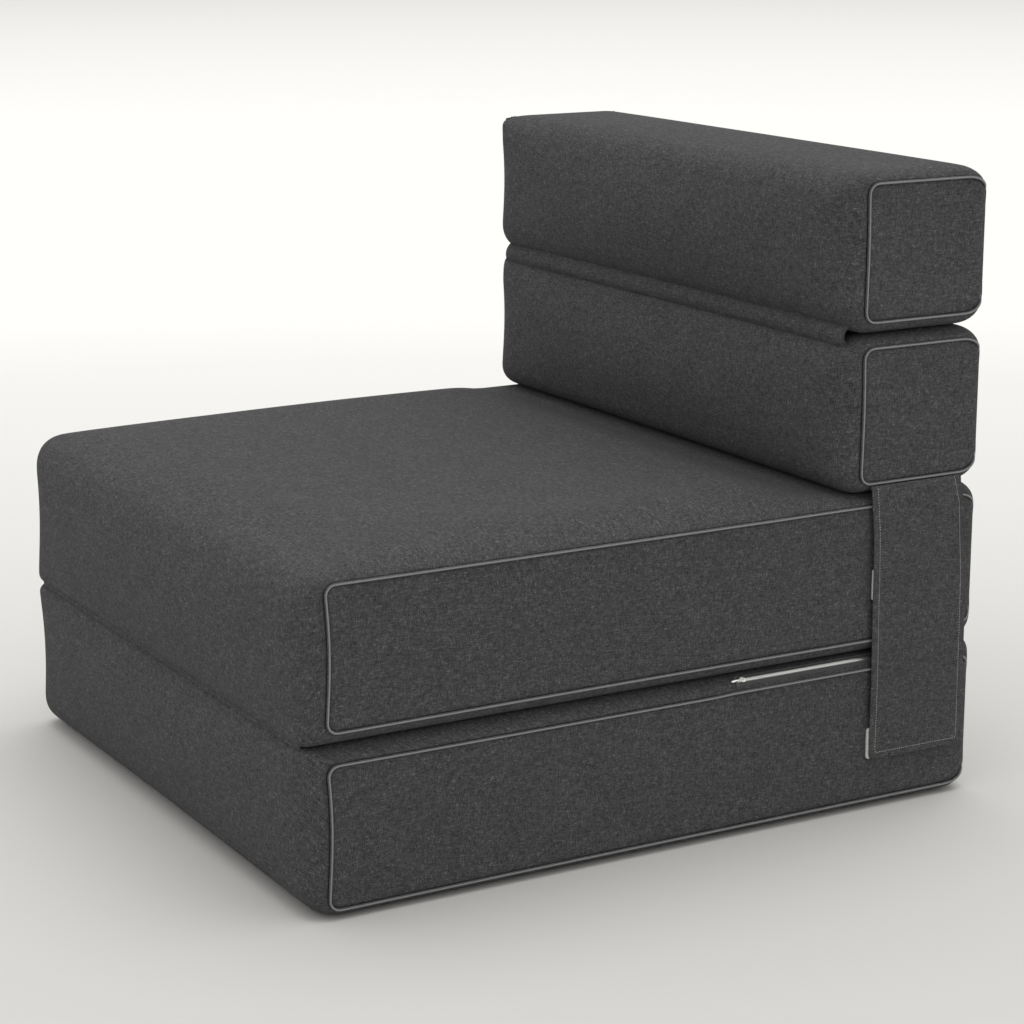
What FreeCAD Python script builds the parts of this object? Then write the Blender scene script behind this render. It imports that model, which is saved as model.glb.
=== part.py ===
# Convertible chair bed: four fabric covered foam blocks joined edge to edge by fabric hinges.
# Two seat blocks lie on each other, two back blocks stand on the rear of the upper one, and a
# flap on each side holds the folded pack together. Unfolded, the blocks make one flat bed.
# Millimetres, +Z up, the front faces -Y, the origin is under the middle of the lower seat block.

import FreeCAD, Part
import Sketcher
import math
import os
import re

Vector = FreeCAD.Vector

doc = FreeCAD.newDocument("chair_bed")
sizes = doc.addObject("Spreadsheet::Sheet", "sizes")

# Driving dimensions
driving = {
    # overall
    "frame_width": 742,  # between the faces of the two end panels
    "seat_depth": 820,
    "seat_thickness": 175.5,
    "back_depth": 191,
    "back_thickness": 170.6,
    "block_gap": 0.6,  # between one block and the next above it
    # covers
    "band_radius": 26,  # long edges of a block
    "crease_round": 2.5,  # what is left, at an end, of the tight edges in the front crease
    "end_bevel": 9.5,  # rim between the band and an end
    "cover_wall": 1.5,
    "foam_clearance": 1.5,
    "foam_bevel_share": 0.7,  # bevel on a foam edge, as a share of the cover's radius there
    # end panels and their piping
    "seam_inset_depth": 25,
    "seam_margin_seat": 1.85,  # flat left between the rim and the piping, above and below it
    "seam_margin_back": 0.85,
    "seam_corner": 12,
    "piping_radius": 2.1,
    "piping_clearance": 0.15,
    "piping_stand": 0.8,  # centre of the piping, out from the face of the end panel
    # fabric hinges
    "strip_wall": 1,
    "strip_end_setback": 30,
    "hinge_bow_share": 0.8,  # bow radius as a share of the edge radius that it spans
    "hinge_sewn_share": 0.45,
    "hinge_free_share": 0.4,
    # side flaps
    "flap_front_from_rear": 156,  # front edge of a flap, forward of the rear of the seat
    "flap_width": 124,
    "flap_bottom": 57,
    "flap_wall": 1.6,
    "flap_corner": 7,
    "flap_stand": 4.4,  # inner face of a flap, out from the face of the end panel
    "flap_seam_radius": 1.8,
    "flap_seam_gap": 0.32,  # between a flap's rolled seam and the piping that it hangs below
    # hook and loop patches
    "patch_height": 34.5,
    "patch_low": 58,
    "patch_high": 236,
    "patch_peek": 2.5,  # how far a loop patch shows in front of the flap
    "patch_setback": 9,
    "loop_wall": 2.6,
    "hook_wall": 1.2,
    # zips
    "seat_zip_start": 94,  # closed end of a seat block's zip, behind the middle of the block
    "seat_zip_length": 288,
    "back_zip_length": 150,
    "zip_slot": 7.2,
    "zip_slot_end": 1,
    "zip_tape_wall": 0.8,
    "zip_tape_clearance": 0.1,
    "zip_tooth_width": 3.8,
    "zip_tooth_length": 7,
    "zip_tooth_rise": 0.7,
    "zip_web": 0.5,  # what is left of the chain between its teeth
    "zip_pitch": 12,
    "slider_length": 9,
    "slider_width": 6.2,
    "slider_wall": 0.9,
    "slider_clearance": 0.4,
    "ear_wall": 0.8,
    "ear_radius": 1.4,
    "pull_pin_radius": 0.6,
    "pull_pin_height": 4.3,
    "pull_clearance": 0.1,
    "pull_length": 14,
    "pull_width": 4.4,
    "pull_wall": 1.1,
    "pull_tilt": 12,
}
for row, (alias, value) in enumerate(driving.items(), 1):
    sizes.set(f"A{row}", alias)
    sizes.set(f"B{row}", str(value))
    sizes.setAlias(f"B{row}", alias)
doc.recompute()

# Formulas that more than one piece uses
half_width = "frame_width / 2"
groove = "(piping_radius + piping_clearance)"
foam_inset = "(cover_wall + foam_clearance)"
crease_radius = "(end_bevel + crease_round)"
seat_seam = f"(end_bevel + {groove} + seam_margin_seat)"
back_seam = f"(end_bevel + {groove} + seam_margin_back)"

# The four blocks: where each stands, its own depth and height, its tight edge if it has one, and
# its zip, which runs along the upper edge of one end. No end ever meets another block.
seat_step = "(seat_thickness + block_gap)"
back_middle = "(seat_depth - back_depth) / 2"
blocks = {
    "lower_seat": {
        "depth": "seat_depth",
        "height": "seat_thickness",
        "middle": "0",
        "floor": "0",
        "seam": seat_seam,
        "crease": "top",
        "zip_side": 1,
        "zip_start": "seat_zip_start",
        "zip_length": "seat_zip_length",
    },
    "upper_seat": {
        "depth": "seat_depth",
        "height": "seat_thickness",
        "middle": "0",
        "floor": seat_step,
        "seam": seat_seam,
        "crease": "bottom",
        "zip_side": -1,
        "zip_start": "seat_zip_start",
        "zip_length": "seat_zip_length",
    },
    "lower_back": {
        "depth": "back_depth",
        "height": "back_thickness",
        "middle": back_middle,
        "floor": f"2 * {seat_step}",
        "seam": back_seam,
        "crease": None,
        "zip_side": -1,
        "zip_start": "-back_zip_length / 2",
        "zip_length": "back_zip_length",
    },
    "upper_back": {
        "depth": "back_depth",
        "height": "back_thickness",
        "middle": back_middle,
        "floor": f"2 * {seat_step} + back_thickness + block_gap",
        "seam": back_seam,
        "crease": None,
        "zip_side": -1,
        "zip_start": "-back_zip_length / 2",
        "zip_length": "back_zip_length",
    },
}

parts = []


def cells(formula):
    """The formula with each driving dimension named in full."""
    return re.sub(r"[a-z_]+", lambda m: f"sizes.{m[0]}" if m[0] in driving else m[0], formula)


def measure(formula):
    """The formula's value, for the few places that need a number."""
    return float(sizes.evalExpression(cells(formula)))


def bind(item, **formulas):
    """Ties properties to the sheet. In a name, two underscores stand for a dot."""
    for name, formula in formulas.items():
        item.setExpression(name.replace("__", "."), cells(formula))


def place(item, x="0", y="0", z="0", turn=None):
    """Puts a piece at its place, with its sizes from the sheet."""
    if turn:
        item.Placement = FreeCAD.Placement(Vector(), turn)
    bind(item, Placement__Base__x=x, Placement__Base__y=y, Placement__Base__z=z)


def keep(item, label):
    """Names a finished sub-part and lists it for export."""
    item.Label = label
    parts.append(item)
    return item


def new_body(name):
    return doc.addObject("PartDesign::Body", name)


def new_sketch(body, name, role, offset="0"):
    """A sketch on one of the body's own origin planes, moved along the plane's normal."""
    sketch = body.newObject("Sketcher::SketchObject", name)
    plane = [f for f in body.Origin.OriginFeatures if f.Role == role][0]
    sketch.AttachmentSupport = [(plane, "")]
    sketch.MapMode = "FlatFace"
    bind(sketch, AttachmentOffset__Base__z=offset)
    return sketch


def fix(sketch, kind, formula, *ends):
    """A sized constraint that follows the sheet."""
    index = sketch.addConstraint(Sketcher.Constraint(kind, *ends, measure(formula)))
    sketch.setExpression(f"Constraints[{index}]", cells(formula))


def draw_box(sketch, left, right, low, high):
    """A rectangle in the sketch, with each side tied to the sheet."""
    a, b, c, d = (measure(f) for f in (left, right, low, high))
    corners = [Vector(a, c), Vector(b, c), Vector(b, d), Vector(a, d)]
    first = sketch.GeometryCount
    for k in range(4):
        sketch.addGeometry(Part.LineSegment(corners[k], corners[(k + 1) % 4]))
    for k in range(4):
        sketch.addConstraint(
            Sketcher.Constraint("Coincident", first + k, 2, first + (k + 1) % 4, 1)
        )
        kind = "Horizontal" if k % 2 == 0 else "Vertical"
        sketch.addConstraint(Sketcher.Constraint(kind, first + k))
    fix(sketch, "DistanceX", left, -1, 1, first, 1)
    fix(sketch, "DistanceX", right, -1, 1, first + 1, 1)
    fix(sketch, "DistanceY", low, -1, 1, first, 1)
    fix(sketch, "DistanceY", high, -1, 1, first + 2, 1)


def draw_rounded_box(sketch, left, right, low, high, radius):
    """A rectangle with equal round corners, tied to the sheet."""
    a, b, c, d = (measure(f) for f in (left, right, low, high))
    r = measure(radius)
    first = sketch.GeometryCount
    sides = [
        (Vector(a + r, c), Vector(b - r, c)),
        (Vector(b, c + r), Vector(b, d - r)),
        (Vector(b - r, d), Vector(a + r, d)),
        (Vector(a, d - r), Vector(a, c + r)),
    ]
    for start, end in sides:
        sketch.addGeometry(Part.LineSegment(start, end))
    middles = [Vector(b - r, c + r), Vector(b - r, d - r), Vector(a + r, d - r), Vector(a + r, c + r)]
    for k, middle in enumerate(middles):
        circle = Part.Circle(middle, Vector(0, 0, 1), r)
        start = math.radians(-90 + 90 * k)
        sketch.addGeometry(Part.ArcOfCircle(circle, start, start + math.pi / 2))
    for k in range(4):
        side, arc = first + k, first + 4 + k
        sketch.addConstraint(Sketcher.Constraint("Tangent", side, 2, arc, 1))
        sketch.addConstraint(Sketcher.Constraint("Tangent", arc, 2, first + (k + 1) % 4, 1))
        kind = "Horizontal" if k % 2 == 0 else "Vertical"
        sketch.addConstraint(Sketcher.Constraint(kind, side))
        if k:
            sketch.addConstraint(Sketcher.Constraint("Equal", first + 4, arc))
    fix(sketch, "Radius", radius, first + 4)
    fix(sketch, "DistanceX", left, -1, 1, first + 3, 1)
    fix(sketch, "DistanceX", right, -1, 1, first + 1, 1)
    fix(sketch, "DistanceY", low, -1, 1, first, 1)
    fix(sketch, "DistanceY", high, -1, 1, first + 2, 1)


def draw_circle(sketch, across, up, radius):
    """A circle in the sketch, with its middle and radius tied to the sheet."""
    middle = Vector(measure(across), measure(up))
    index = sketch.addGeometry(Part.Circle(middle, Vector(0, 0, 1), measure(radius)))
    fix(sketch, "Radius", radius, index)
    fix(sketch, "DistanceX", across, -1, 1, index, 3)
    fix(sketch, "DistanceY", up, -1, 1, index, 3)


def pad(body, sketch, name, length, both_ways=False, reverse=False, kind="Pad"):
    """A pad or pocket of the sketch."""
    feature = body.newObject(f"PartDesign::{kind}", name)
    feature.Profile = sketch
    feature.SideType = "Symmetric" if both_ways else "One side"
    feature.Reversed = reverse
    bind(feature, Length=length)
    doc.recompute()
    return feature


def dress(body, base, name, edges, kind="Fillet", **formulas):
    """A fillet or chamfer on the edges of the base that pass the test."""
    feature = body.newObject(f"PartDesign::{kind}", name)
    chosen = [f"Edge{k}" for k, edge in enumerate(base.Shape.Edges, 1) if edges(edge)]
    if not chosen:
        raise SystemExit(f"{name} found no edge")
    feature.Base = (base, chosen)
    bind(feature, **formulas)
    doc.recompute()
    return feature


def runs_along_x(edge):
    box = edge.BoundBox
    return box.YLength < 0.001 and box.ZLength < 0.001 and box.XLength > 1


def runs_along_z(edge):
    box = edge.BoundBox
    return box.XLength < 0.001 and box.YLength < 0.001


def lies_at_x(edge, x):
    return abs(edge.BoundBox.XMin - x) < 0.001 and abs(edge.BoundBox.XMax - x) < 0.001


def cut(name, base, tool):
    feature = doc.addObject("Part::Cut", name)
    feature.Base = base
    feature.Tool = tool
    doc.recompute()
    return feature


def block_form(name, block, inset, kind="Fillet"):
    """A block, smaller all round by the inset: long edges rounded or bevelled, rims bevelled."""
    body = new_body(name)
    sketch = new_sketch(body, f"{name}_profile", "YZ_Plane")
    reach = f"{block['depth']} / 2 - {inset}"
    draw_box(sketch, f"-({reach})", reach, inset, f"{block['height']} - {inset}")
    form = pad(body, sketch, f"{name}_pad", f"frame_width - 2 * {inset}", both_ways=True)
    bounds = form.Shape.BoundBox
    size = "Radius" if kind == "Fillet" else "Size"
    share = "1" if kind == "Fillet" else "foam_bevel_share"

    def is_tight(edge):
        at = edge.BoundBox.Center
        return at.y < 0 and (at.z > bounds.Center.z) == (block["crease"] == "top")

    def is_corner(edge):
        at = edge.BoundBox.Center
        on_side = min(abs(at.y - bounds.YMin), abs(at.y - bounds.YMax)) < 0.001
        return on_side and min(abs(at.z - bounds.ZMin), abs(at.z - bounds.ZMax)) < 0.001

    if block["crease"]:
        tight = {size: f"({crease_radius} - {inset}) * {share}"}
        form = dress(
            body, form, f"{name}_crease", lambda e: runs_along_x(e) and is_tight(e), kind, **tight
        )
    soft = {size: f"(band_radius - {inset}) * {share}"}
    form = dress(
        body, form, f"{name}_edges", lambda e: runs_along_x(e) and is_corner(e), kind, **soft
    )
    end = form.Shape.BoundBox.XMax

    def on_rim(edge):
        return lies_at_x(edge, end) or lies_at_x(edge, -end)

    # A bevel keeps its distance from the one outside it when its legs shrink by 0.586 of that.
    dress(body, form, f"{name}_rims", on_rim, "Chamfer", Size=f"end_bevel - 0.586 * {inset}")
    return body


def seam_loop(sketch, block, outward):
    """The outline of an end panel's seam, moved outward by the amount given."""
    reach = f"{block['depth']} / 2 - seam_inset_depth + {outward}"
    low = f"{block['seam']} - {outward}"
    high = f"{block['height']} - {block['seam']} + {outward}"
    draw_rounded_box(sketch, f"-({reach})", reach, low, high, f"seam_corner + {outward}")


def make_block(name, block):
    """Foam, cover, end panels and piping of one block."""
    at = {"y": block["middle"], "z": block["floor"]}

    foam = block_form(f"{name}_foam", block, foam_inset, "Chamfer")
    place(foam, **at)
    keep(foam, f"{name}_foam")

    skin = block_form(f"{name}_skin", block, "0")
    hollow = block_form(f"{name}_hollow", block, "cover_wall")
    opening = new_body(f"{name}_opening")
    sketch = new_sketch(opening, f"{name}_opening_outline", "YZ_Plane")
    seam_loop(sketch, block, groove)
    pad(opening, sketch, f"{name}_opening_pad", "frame_width + 2 * cover_wall", both_ways=True)
    shell = cut(f"{name}_shell", skin, hollow)
    band = cut(f"{name}_band", shell, opening)
    slot = zip_slot(name, block)
    cover = cut(f"{name}_cover", band, slot)
    place(cover, **at)
    keep(cover, f"{name}_cover")

    for side, x in (("right", f"{half_width} - cover_wall"), ("left", f"-({half_width})")):
        panel = new_body(f"{name}_end_panel_{side}")
        sketch = new_sketch(panel, f"{name}_panel_outline_{side}", "YZ_Plane")
        seam_loop(sketch, block, f"-{groove}")
        pad(panel, sketch, f"{name}_panel_pad_{side}", "cover_wall")
        place(panel, x=x, **at)
        keep(panel, f"{name}_end_panel_{side}")

    stand = f"{half_width} + piping_stand"
    for side, x in (("right", f"{stand} - piping_radius"), ("left", f"-({stand}) - piping_radius")):
        piping = new_body(f"{name}_piping_{side}")
        sketch = new_sketch(piping, f"{name}_piping_outline_{side}", "YZ_Plane")
        seam_loop(sketch, block, "piping_radius")
        seam_loop(sketch, block, "-piping_radius")
        ring = pad(piping, sketch, f"{name}_piping_pad_{side}", "2 * piping_radius")
        face = ring.Shape.BoundBox.XMax if side == "right" else 0

        def around(edge):
            return lies_at_x(edge, face)

        # Only the half of the cord that stands out of the seam is rounded.
        rounding = f"{name}_piping_round_{side}"
        dress(piping, ring, rounding, around, "Chamfer", Size="0.586 * piping_radius")
        place(piping, x=x, **at)
        keep(piping, f"{name}_piping_{side}")


def zip_frame(block):
    """Where a zip's closed end is on its block, and how it is turned.

    Along a zip's own frame: X runs along the zip, Y across it, and Z out of the fabric.
    """
    # in the middle of the bevel over one end panel
    side = block["zip_side"]
    outward = Vector(side, 0, 1).normalize()
    along = Vector(0, 1, 0)
    x = f"{side} * ({half_width} - end_bevel / 2)"
    z = f"{block['height']} - end_bevel / 2"
    turn = FreeCAD.Rotation(along, outward.cross(along), outward, "XYZ")
    return x, block["zip_start"], z, turn


def zip_slot(name, block):
    """The tool that cuts the zip's slot through the cover, in the block's own frame."""
    x, y, z, turn = zip_frame(block)
    length = block["zip_length"]
    slot = new_body(f"{name}_zip_slot")
    sketch = new_sketch(slot, f"{name}_zip_slot_outline", "XY_Plane", "-2.5 * cover_wall")
    draw_box(sketch, "-zip_slot_end", f"{length} + zip_slot_end", "-zip_slot / 2", "zip_slot / 2")
    pad(slot, sketch, f"{name}_zip_slot_pad", "5 * cover_wall")
    place(slot, x, y, z, turn)
    return slot


def make_zip(name, block):
    """Tape, teeth, slider and pull of one cover's zip."""
    x, y, z, turn = zip_frame(block)
    length = block["zip_length"]
    y = f"{block['middle']} + {y}"
    z = f"{block['floor']} + {z}"

    # The tape closes the slot, level with the inside of the cover.
    tape_top = "(zip_tape_wall - cover_wall)"
    half_tape = "zip_slot / 2 - zip_tape_clearance"
    tape = new_body(f"{name}_zip_tape")
    sketch = new_sketch(tape, f"{name}_tape_outline", "XY_Plane", "-cover_wall")
    draw_box(sketch, "0", length, f"-({half_tape})", half_tape)
    pad(tape, sketch, f"{name}_tape_pad", "zip_tape_wall")
    place(tape, x, y, z, turn)
    keep(tape, f"{name}_zip_tape")

    # The closed chain is a bar with a notch cut across it between each tooth and the next.
    teeth = new_body(f"{name}_zip_teeth")
    sketch = new_sketch(teeth, f"{name}_chain_outline", "XY_Plane", tape_top)
    half_tooth = "zip_tooth_width / 2"
    draw_box(sketch, "0", length, f"-{half_tooth}", half_tooth)
    pad(teeth, sketch, f"{name}_chain_pad", f"zip_tooth_rise - {tape_top}")
    sketch = new_sketch(teeth, f"{name}_notch_outline", "XY_Plane", "zip_tooth_rise")
    draw_box(sketch, "zip_tooth_length", "zip_pitch", "-zip_tooth_width", "zip_tooth_width")
    notch_depth = f"zip_tooth_rise - {tape_top} - zip_web"
    notch = pad(teeth, sketch, f"{name}_notch_cut", notch_depth, kind="Pocket")
    row = teeth.newObject("PartDesign::LinearPattern", f"{name}_notch_row")
    row.Originals = [notch]
    along = [f for f in teeth.Origin.OriginFeatures if f.Role == "X_Axis"][0]
    row.Direction = (along, [""])
    row.Mode = "Spacing"
    bind(row, Offset="zip_pitch", Occurrences=f"floor(({length} - zip_tooth_length) / zip_pitch)")
    teeth.Tip = row
    doc.recompute()
    place(teeth, x, y, z, turn)
    keep(teeth, f"{name}_zip_teeth")

    # The slider: a wing over the chain, a lip down each side of it, and two ears with a pin.
    wing_low = "(zip_tooth_rise + slider_clearance)"
    wing_top = f"({wing_low} + slider_wall)"
    half_length = "slider_length / 2"
    half_wide = "slider_width / 2"
    slider = new_body(f"{name}_zip_slider")
    sketch = new_sketch(slider, f"{name}_wing_outline", "XY_Plane", wing_low)
    draw_box(sketch, f"-{half_length}", half_length, f"-{half_wide}", half_wide)
    wing = pad(slider, sketch, f"{name}_wing_pad", "slider_wall")
    dress(slider, wing, f"{name}_wing_corners", runs_along_z, "Chamfer", Size="slider_width * 0.3")
    inner_lip = "(zip_tooth_width / 2 + slider_clearance)"
    sketch = new_sketch(slider, f"{name}_lip_outline", "XY_Plane", f"{tape_top} + slider_clearance")
    lip_reach = "slider_length * 0.3"
    draw_box(sketch, f"-{lip_reach}", lip_reach, inner_lip, half_wide)
    draw_box(sketch, f"-{lip_reach}", lip_reach, f"-{half_wide}", f"-{inner_lip}")
    pad(slider, sketch, f"{name}_lip_pad", f"{wing_top} - {tape_top} - slider_clearance")
    ear_room = "(pull_width * 0.6 + 2 * pull_clearance)"
    ear_top = "(pull_pin_height + ear_radius)"
    sketch = new_sketch(slider, f"{name}_ear_outline", "XZ_Plane")
    draw_box(sketch, "-ear_radius", "ear_radius", wing_low, ear_top)
    ears = pad(slider, sketch, f"{name}_ear_pad", f"{ear_room} + 2 * ear_wall", both_ways=True)

    def on_ear_top(edge):
        box = edge.BoundBox
        return box.XLength < 0.001 and box.ZMin > ears.Shape.BoundBox.ZMax - 0.001

    dress(slider, ears, f"{name}_ear_bevel", on_ear_top, "Chamfer", Size="ear_radius * 0.6")
    sketch = new_sketch(slider, f"{name}_ear_gap", "XZ_Plane")
    draw_box(sketch, "-2 * ear_radius", "2 * ear_radius", wing_top, f"2 * {ear_top}")
    pad(slider, sketch, f"{name}_ear_gap_cut", ear_room, both_ways=True, kind="Pocket")
    sketch = new_sketch(slider, f"{name}_pin_outline", "XZ_Plane")
    draw_circle(sketch, "0", "pull_pin_height", "pull_pin_radius")
    pad(slider, sketch, f"{name}_pin_pad", f"{ear_room} + ear_wall", both_ways=True)
    start = "(slider_length / 2 + zip_tooth_length / 2)"
    out = turn.multVec(Vector(0, 0, 1))
    on_y = f"{y} + {start}"
    place(slider, x, on_y, z, turn)
    keep(slider, f"{name}_zip_slider")

    # The pull: a flat tab with a long eye at its grip end and a knuckle round the slider's pin.
    bore = "(pull_pin_radius + pull_clearance)"
    knuckle = "(pull_wall + pull_pin_radius)"
    half_neck = "pull_width * 0.3"
    half_pull = "pull_width / 2"
    half_wall = "pull_wall / 2"
    pull = new_body(f"{name}_zip_pull")
    sketch = new_sketch(pull, f"{name}_tab_outline", "XY_Plane", f"-{half_wall}")
    draw_box(sketch, "-pull_length", "-2 * ear_radius", f"-{half_pull}", half_pull)
    tab = pad(pull, sketch, f"{name}_tab_pad", "pull_wall")
    grip = tab.Shape.BoundBox.XMin

    def on_grip(edge):
        return runs_along_z(edge) and lies_at_x(edge, grip)

    dress(pull, tab, f"{name}_tab_corners", on_grip, "Chamfer", Size="pull_width * 0.25")
    sketch = new_sketch(pull, f"{name}_neck_outline", "XY_Plane", f"-{half_wall}")
    draw_box(sketch, "-3 * ear_radius", "0", f"-{half_neck}", half_neck)
    pad(pull, sketch, f"{name}_neck_pad", "pull_wall")
    sketch = new_sketch(pull, f"{name}_knuckle_outline", "XZ_Plane")
    draw_circle(sketch, "0", "0", knuckle)
    pad(pull, sketch, f"{name}_knuckle_pad", f"2 * {half_neck}", both_ways=True)
    sketch = new_sketch(pull, f"{name}_bore_outline", "XZ_Plane")
    draw_circle(sketch, "0", "0", bore)
    pad(pull, sketch, f"{name}_bore_cut", "2 * pull_width", both_ways=True, kind="Pocket")
    sketch = new_sketch(pull, f"{name}_eye_outline", "XY_Plane")
    half_eye = "pull_width * 0.22"
    draw_box(sketch, f"{half_eye} - pull_length", "-pull_length * 0.45", f"-{half_eye}", half_eye)
    pad(pull, sketch, f"{name}_eye_cut", "2 * pull_wall", both_ways=True, kind="Pocket")
    tilt = FreeCAD.Rotation(Vector(0, 1, 0), -measure("pull_tilt"))
    lift = {"x": f"pull_pin_height * {out.x:.9f}", "z": f"pull_pin_height * {out.z:.9f}"}
    place(pull, f"{x} + {lift['x']}", on_y, f"{z} + {lift['z']}", turn * tilt)
    keep(pull, f"{name}_zip_pull")


def hinge_strip(label, radius, y, z, turn=None):
    """A bowed fabric band over the notch between two blocks, sewn along its lower edge.

    Its bow stands in front of the edges that it joins, and its free half stays inside the circle
    that the turning block's round edge never enters.
    """
    bow = f"({radius} * hinge_bow_share)"
    inner = f"({bow} - strip_wall)"
    low = f"({radius} * hinge_sewn_share)"
    high = f"({radius} * hinge_free_share)"
    body = new_body(label)
    sketch = new_sketch(body, f"{label}_section", "YZ_Plane")
    middle = Vector(measure(bow), 0)
    start = math.pi - math.asin(measure(f"{high} / {bow}"))
    end = math.pi + math.asin(measure(f"{low} / {bow}"))
    ends = []
    for size in (bow, inner):
        circle = Part.Circle(middle, Vector(0, 0, 1), measure(size))
        sketch.addGeometry(Part.ArcOfCircle(circle, start, end))
        ends.append([middle + Vector(math.cos(a), math.sin(a)) * measure(size) for a in (start, end)])
    for k in range(2):
        sketch.addGeometry(Part.LineSegment(ends[0][k], ends[1][k]))
        sketch.addConstraint(Sketcher.Constraint("Coincident", 2 + k, 1, 0, 1 + k))
        sketch.addConstraint(Sketcher.Constraint("Coincident", 2 + k, 2, 1, 1 + k))
        sketch.addConstraint(Sketcher.Constraint("PointOnObject", 0, 3, 2 + k))
    sketch.addConstraint(Sketcher.Constraint("Coincident", 0, 3, 1, 3))
    fix(sketch, "Radius", bow, 0)
    fix(sketch, "Radius", inner, 1)
    fix(sketch, "DistanceX", bow, -1, 1, 0, 3)
    fix(sketch, "DistanceY", "0", -1, 1, 0, 3)
    fix(sketch, "DistanceY", high, -1, 1, 0, 1)
    fix(sketch, "DistanceY", f"-{low}", -1, 1, 0, 2)
    pad(body, sketch, f"{label}_pad", "frame_width - 2 * strip_end_setback", both_ways=True)
    place(body, y=y, z=z, turn=turn)
    keep(body, label)


def make_flap(side, sign):
    """A side flap: a sheet with round lower corners, hanging from a rolled seam."""
    reach = "(piping_radius + flap_seam_radius + flap_seam_gap)"
    drop = f"sqrt({reach} ^ 2 - (flap_stand - piping_stand) ^ 2)"
    seam_z = f"(2 * {seat_step} + {back_seam} - {drop})"
    front = "seat_depth / 2 - flap_front_from_rear"
    inner_face = f"{half_width} + flap_stand"
    outline_top = f"{seam_z} + 2 * flap_corner"

    # The sheet is drawn longer than it is and cut off level at its seam.
    sheet = new_body(f"flap_{side}_sheet")
    sketch = new_sketch(sheet, f"flap_{side}_outline", "YZ_Plane")
    draw_rounded_box(sketch, "0", "flap_width", "flap_bottom", outline_top, "flap_corner")
    pad(sheet, sketch, f"flap_{side}_pad", "flap_wall")
    sketch = new_sketch(sheet, f"flap_{side}_trim", "YZ_Plane")
    draw_box(sketch, "-flap_corner", "flap_width + flap_corner", seam_z, f"{outline_top} + flap_corner")
    trim = f"flap_{side}_trim_cut"
    pad(sheet, sketch, trim, "4 * flap_wall", both_ways=True, kind="Pocket")
    sheet_x = inner_face if sign > 0 else f"-({inner_face}) - flap_wall"
    place(sheet, sheet_x, front)

    seam = doc.addObject("Part::Cylinder", f"flap_{side}_seam")
    bind(seam, Radius="flap_seam_radius", Height="flap_width")
    turn = FreeCAD.Rotation(Vector(1, 0, 0), -90)
    place(seam, inner_face if sign > 0 else f"-({inner_face})", front, seam_z, turn)
    flap = doc.addObject("Part::Fuse", f"flap_{side}")
    flap.Base = sheet
    flap.Tool = seam
    doc.recompute()
    keep(flap, f"flap_{side}")


def patches(label, sign, wall, stand, forward, levels):
    """Hook or loop patches, one above the other when there is more than one level."""
    width = f"flap_width - patch_setback + {forward}"
    y = f"seat_depth / 2 - flap_front_from_rear - {forward}"
    x = f"{half_width} + {stand}"
    body = new_body(label)
    sketch = new_sketch(body, f"{label}_outline", "YZ_Plane")
    for level in levels:
        draw_box(sketch, "0", width, level, f"{level} + patch_height")
    feature = pad(body, sketch, f"{label}_pad", wall)
    place(body, x if sign > 0 else f"-({x}) - {wall}", y)
    keep(body, label)


for name, block in blocks.items():
    make_block(name, block)
    make_zip(name, block)

level_of_back = f"2 * {seat_step} - block_gap / 2"
level_of_head = f"2 * {seat_step} + back_thickness + block_gap / 2"
hinge_strip("seat_hinge_strip", crease_radius, "-seat_depth / 2", "seat_thickness + block_gap / 2")
hinge_strip("back_hinge_strip", "band_radius", "seat_depth / 2 - back_depth", level_of_head)
half_turn = FreeCAD.Rotation(Vector(0, 0, 1), 180)
hinge_strip("rear_hinge_strip", "band_radius", "seat_depth / 2", level_of_back, half_turn)

for side, sign in (("right", 1), ("left", -1)):
    make_flap(side, sign)
    patches(f"flap_hooks_{side}", sign, "hook_wall", "flap_stand - hook_wall", "0", ["patch_low", "patch_high"])
    patches(f"lower_seat_loops_{side}", sign, "loop_wall", "0", "patch_peek", ["patch_low"])
    patches(f"upper_seat_loops_{side}", sign, "loop_wall", "0", "patch_peek", ["patch_high"])

doc.recompute()
for item in doc.Objects:
    if {"Invalid", "Error"} & set(item.State):
        raise SystemExit(f"{item.Label} did not build: {item.State}")
for part in parts:
    if part.Shape.isNull() or not part.Shape.isValid():
        raise SystemExit(f"{part.Label} has no valid shape")

os.makedirs("parts", exist_ok=True)
for part in parts:
    part.Shape.exportStep(f"parts/{part.Label}.step")
    print(f"{part.Label}: {len(part.Shape.Solids)} solid, {part.Shape.Volume / 1000:.2f} cm3")
print(f"{len(parts)} sub-parts")
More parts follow.
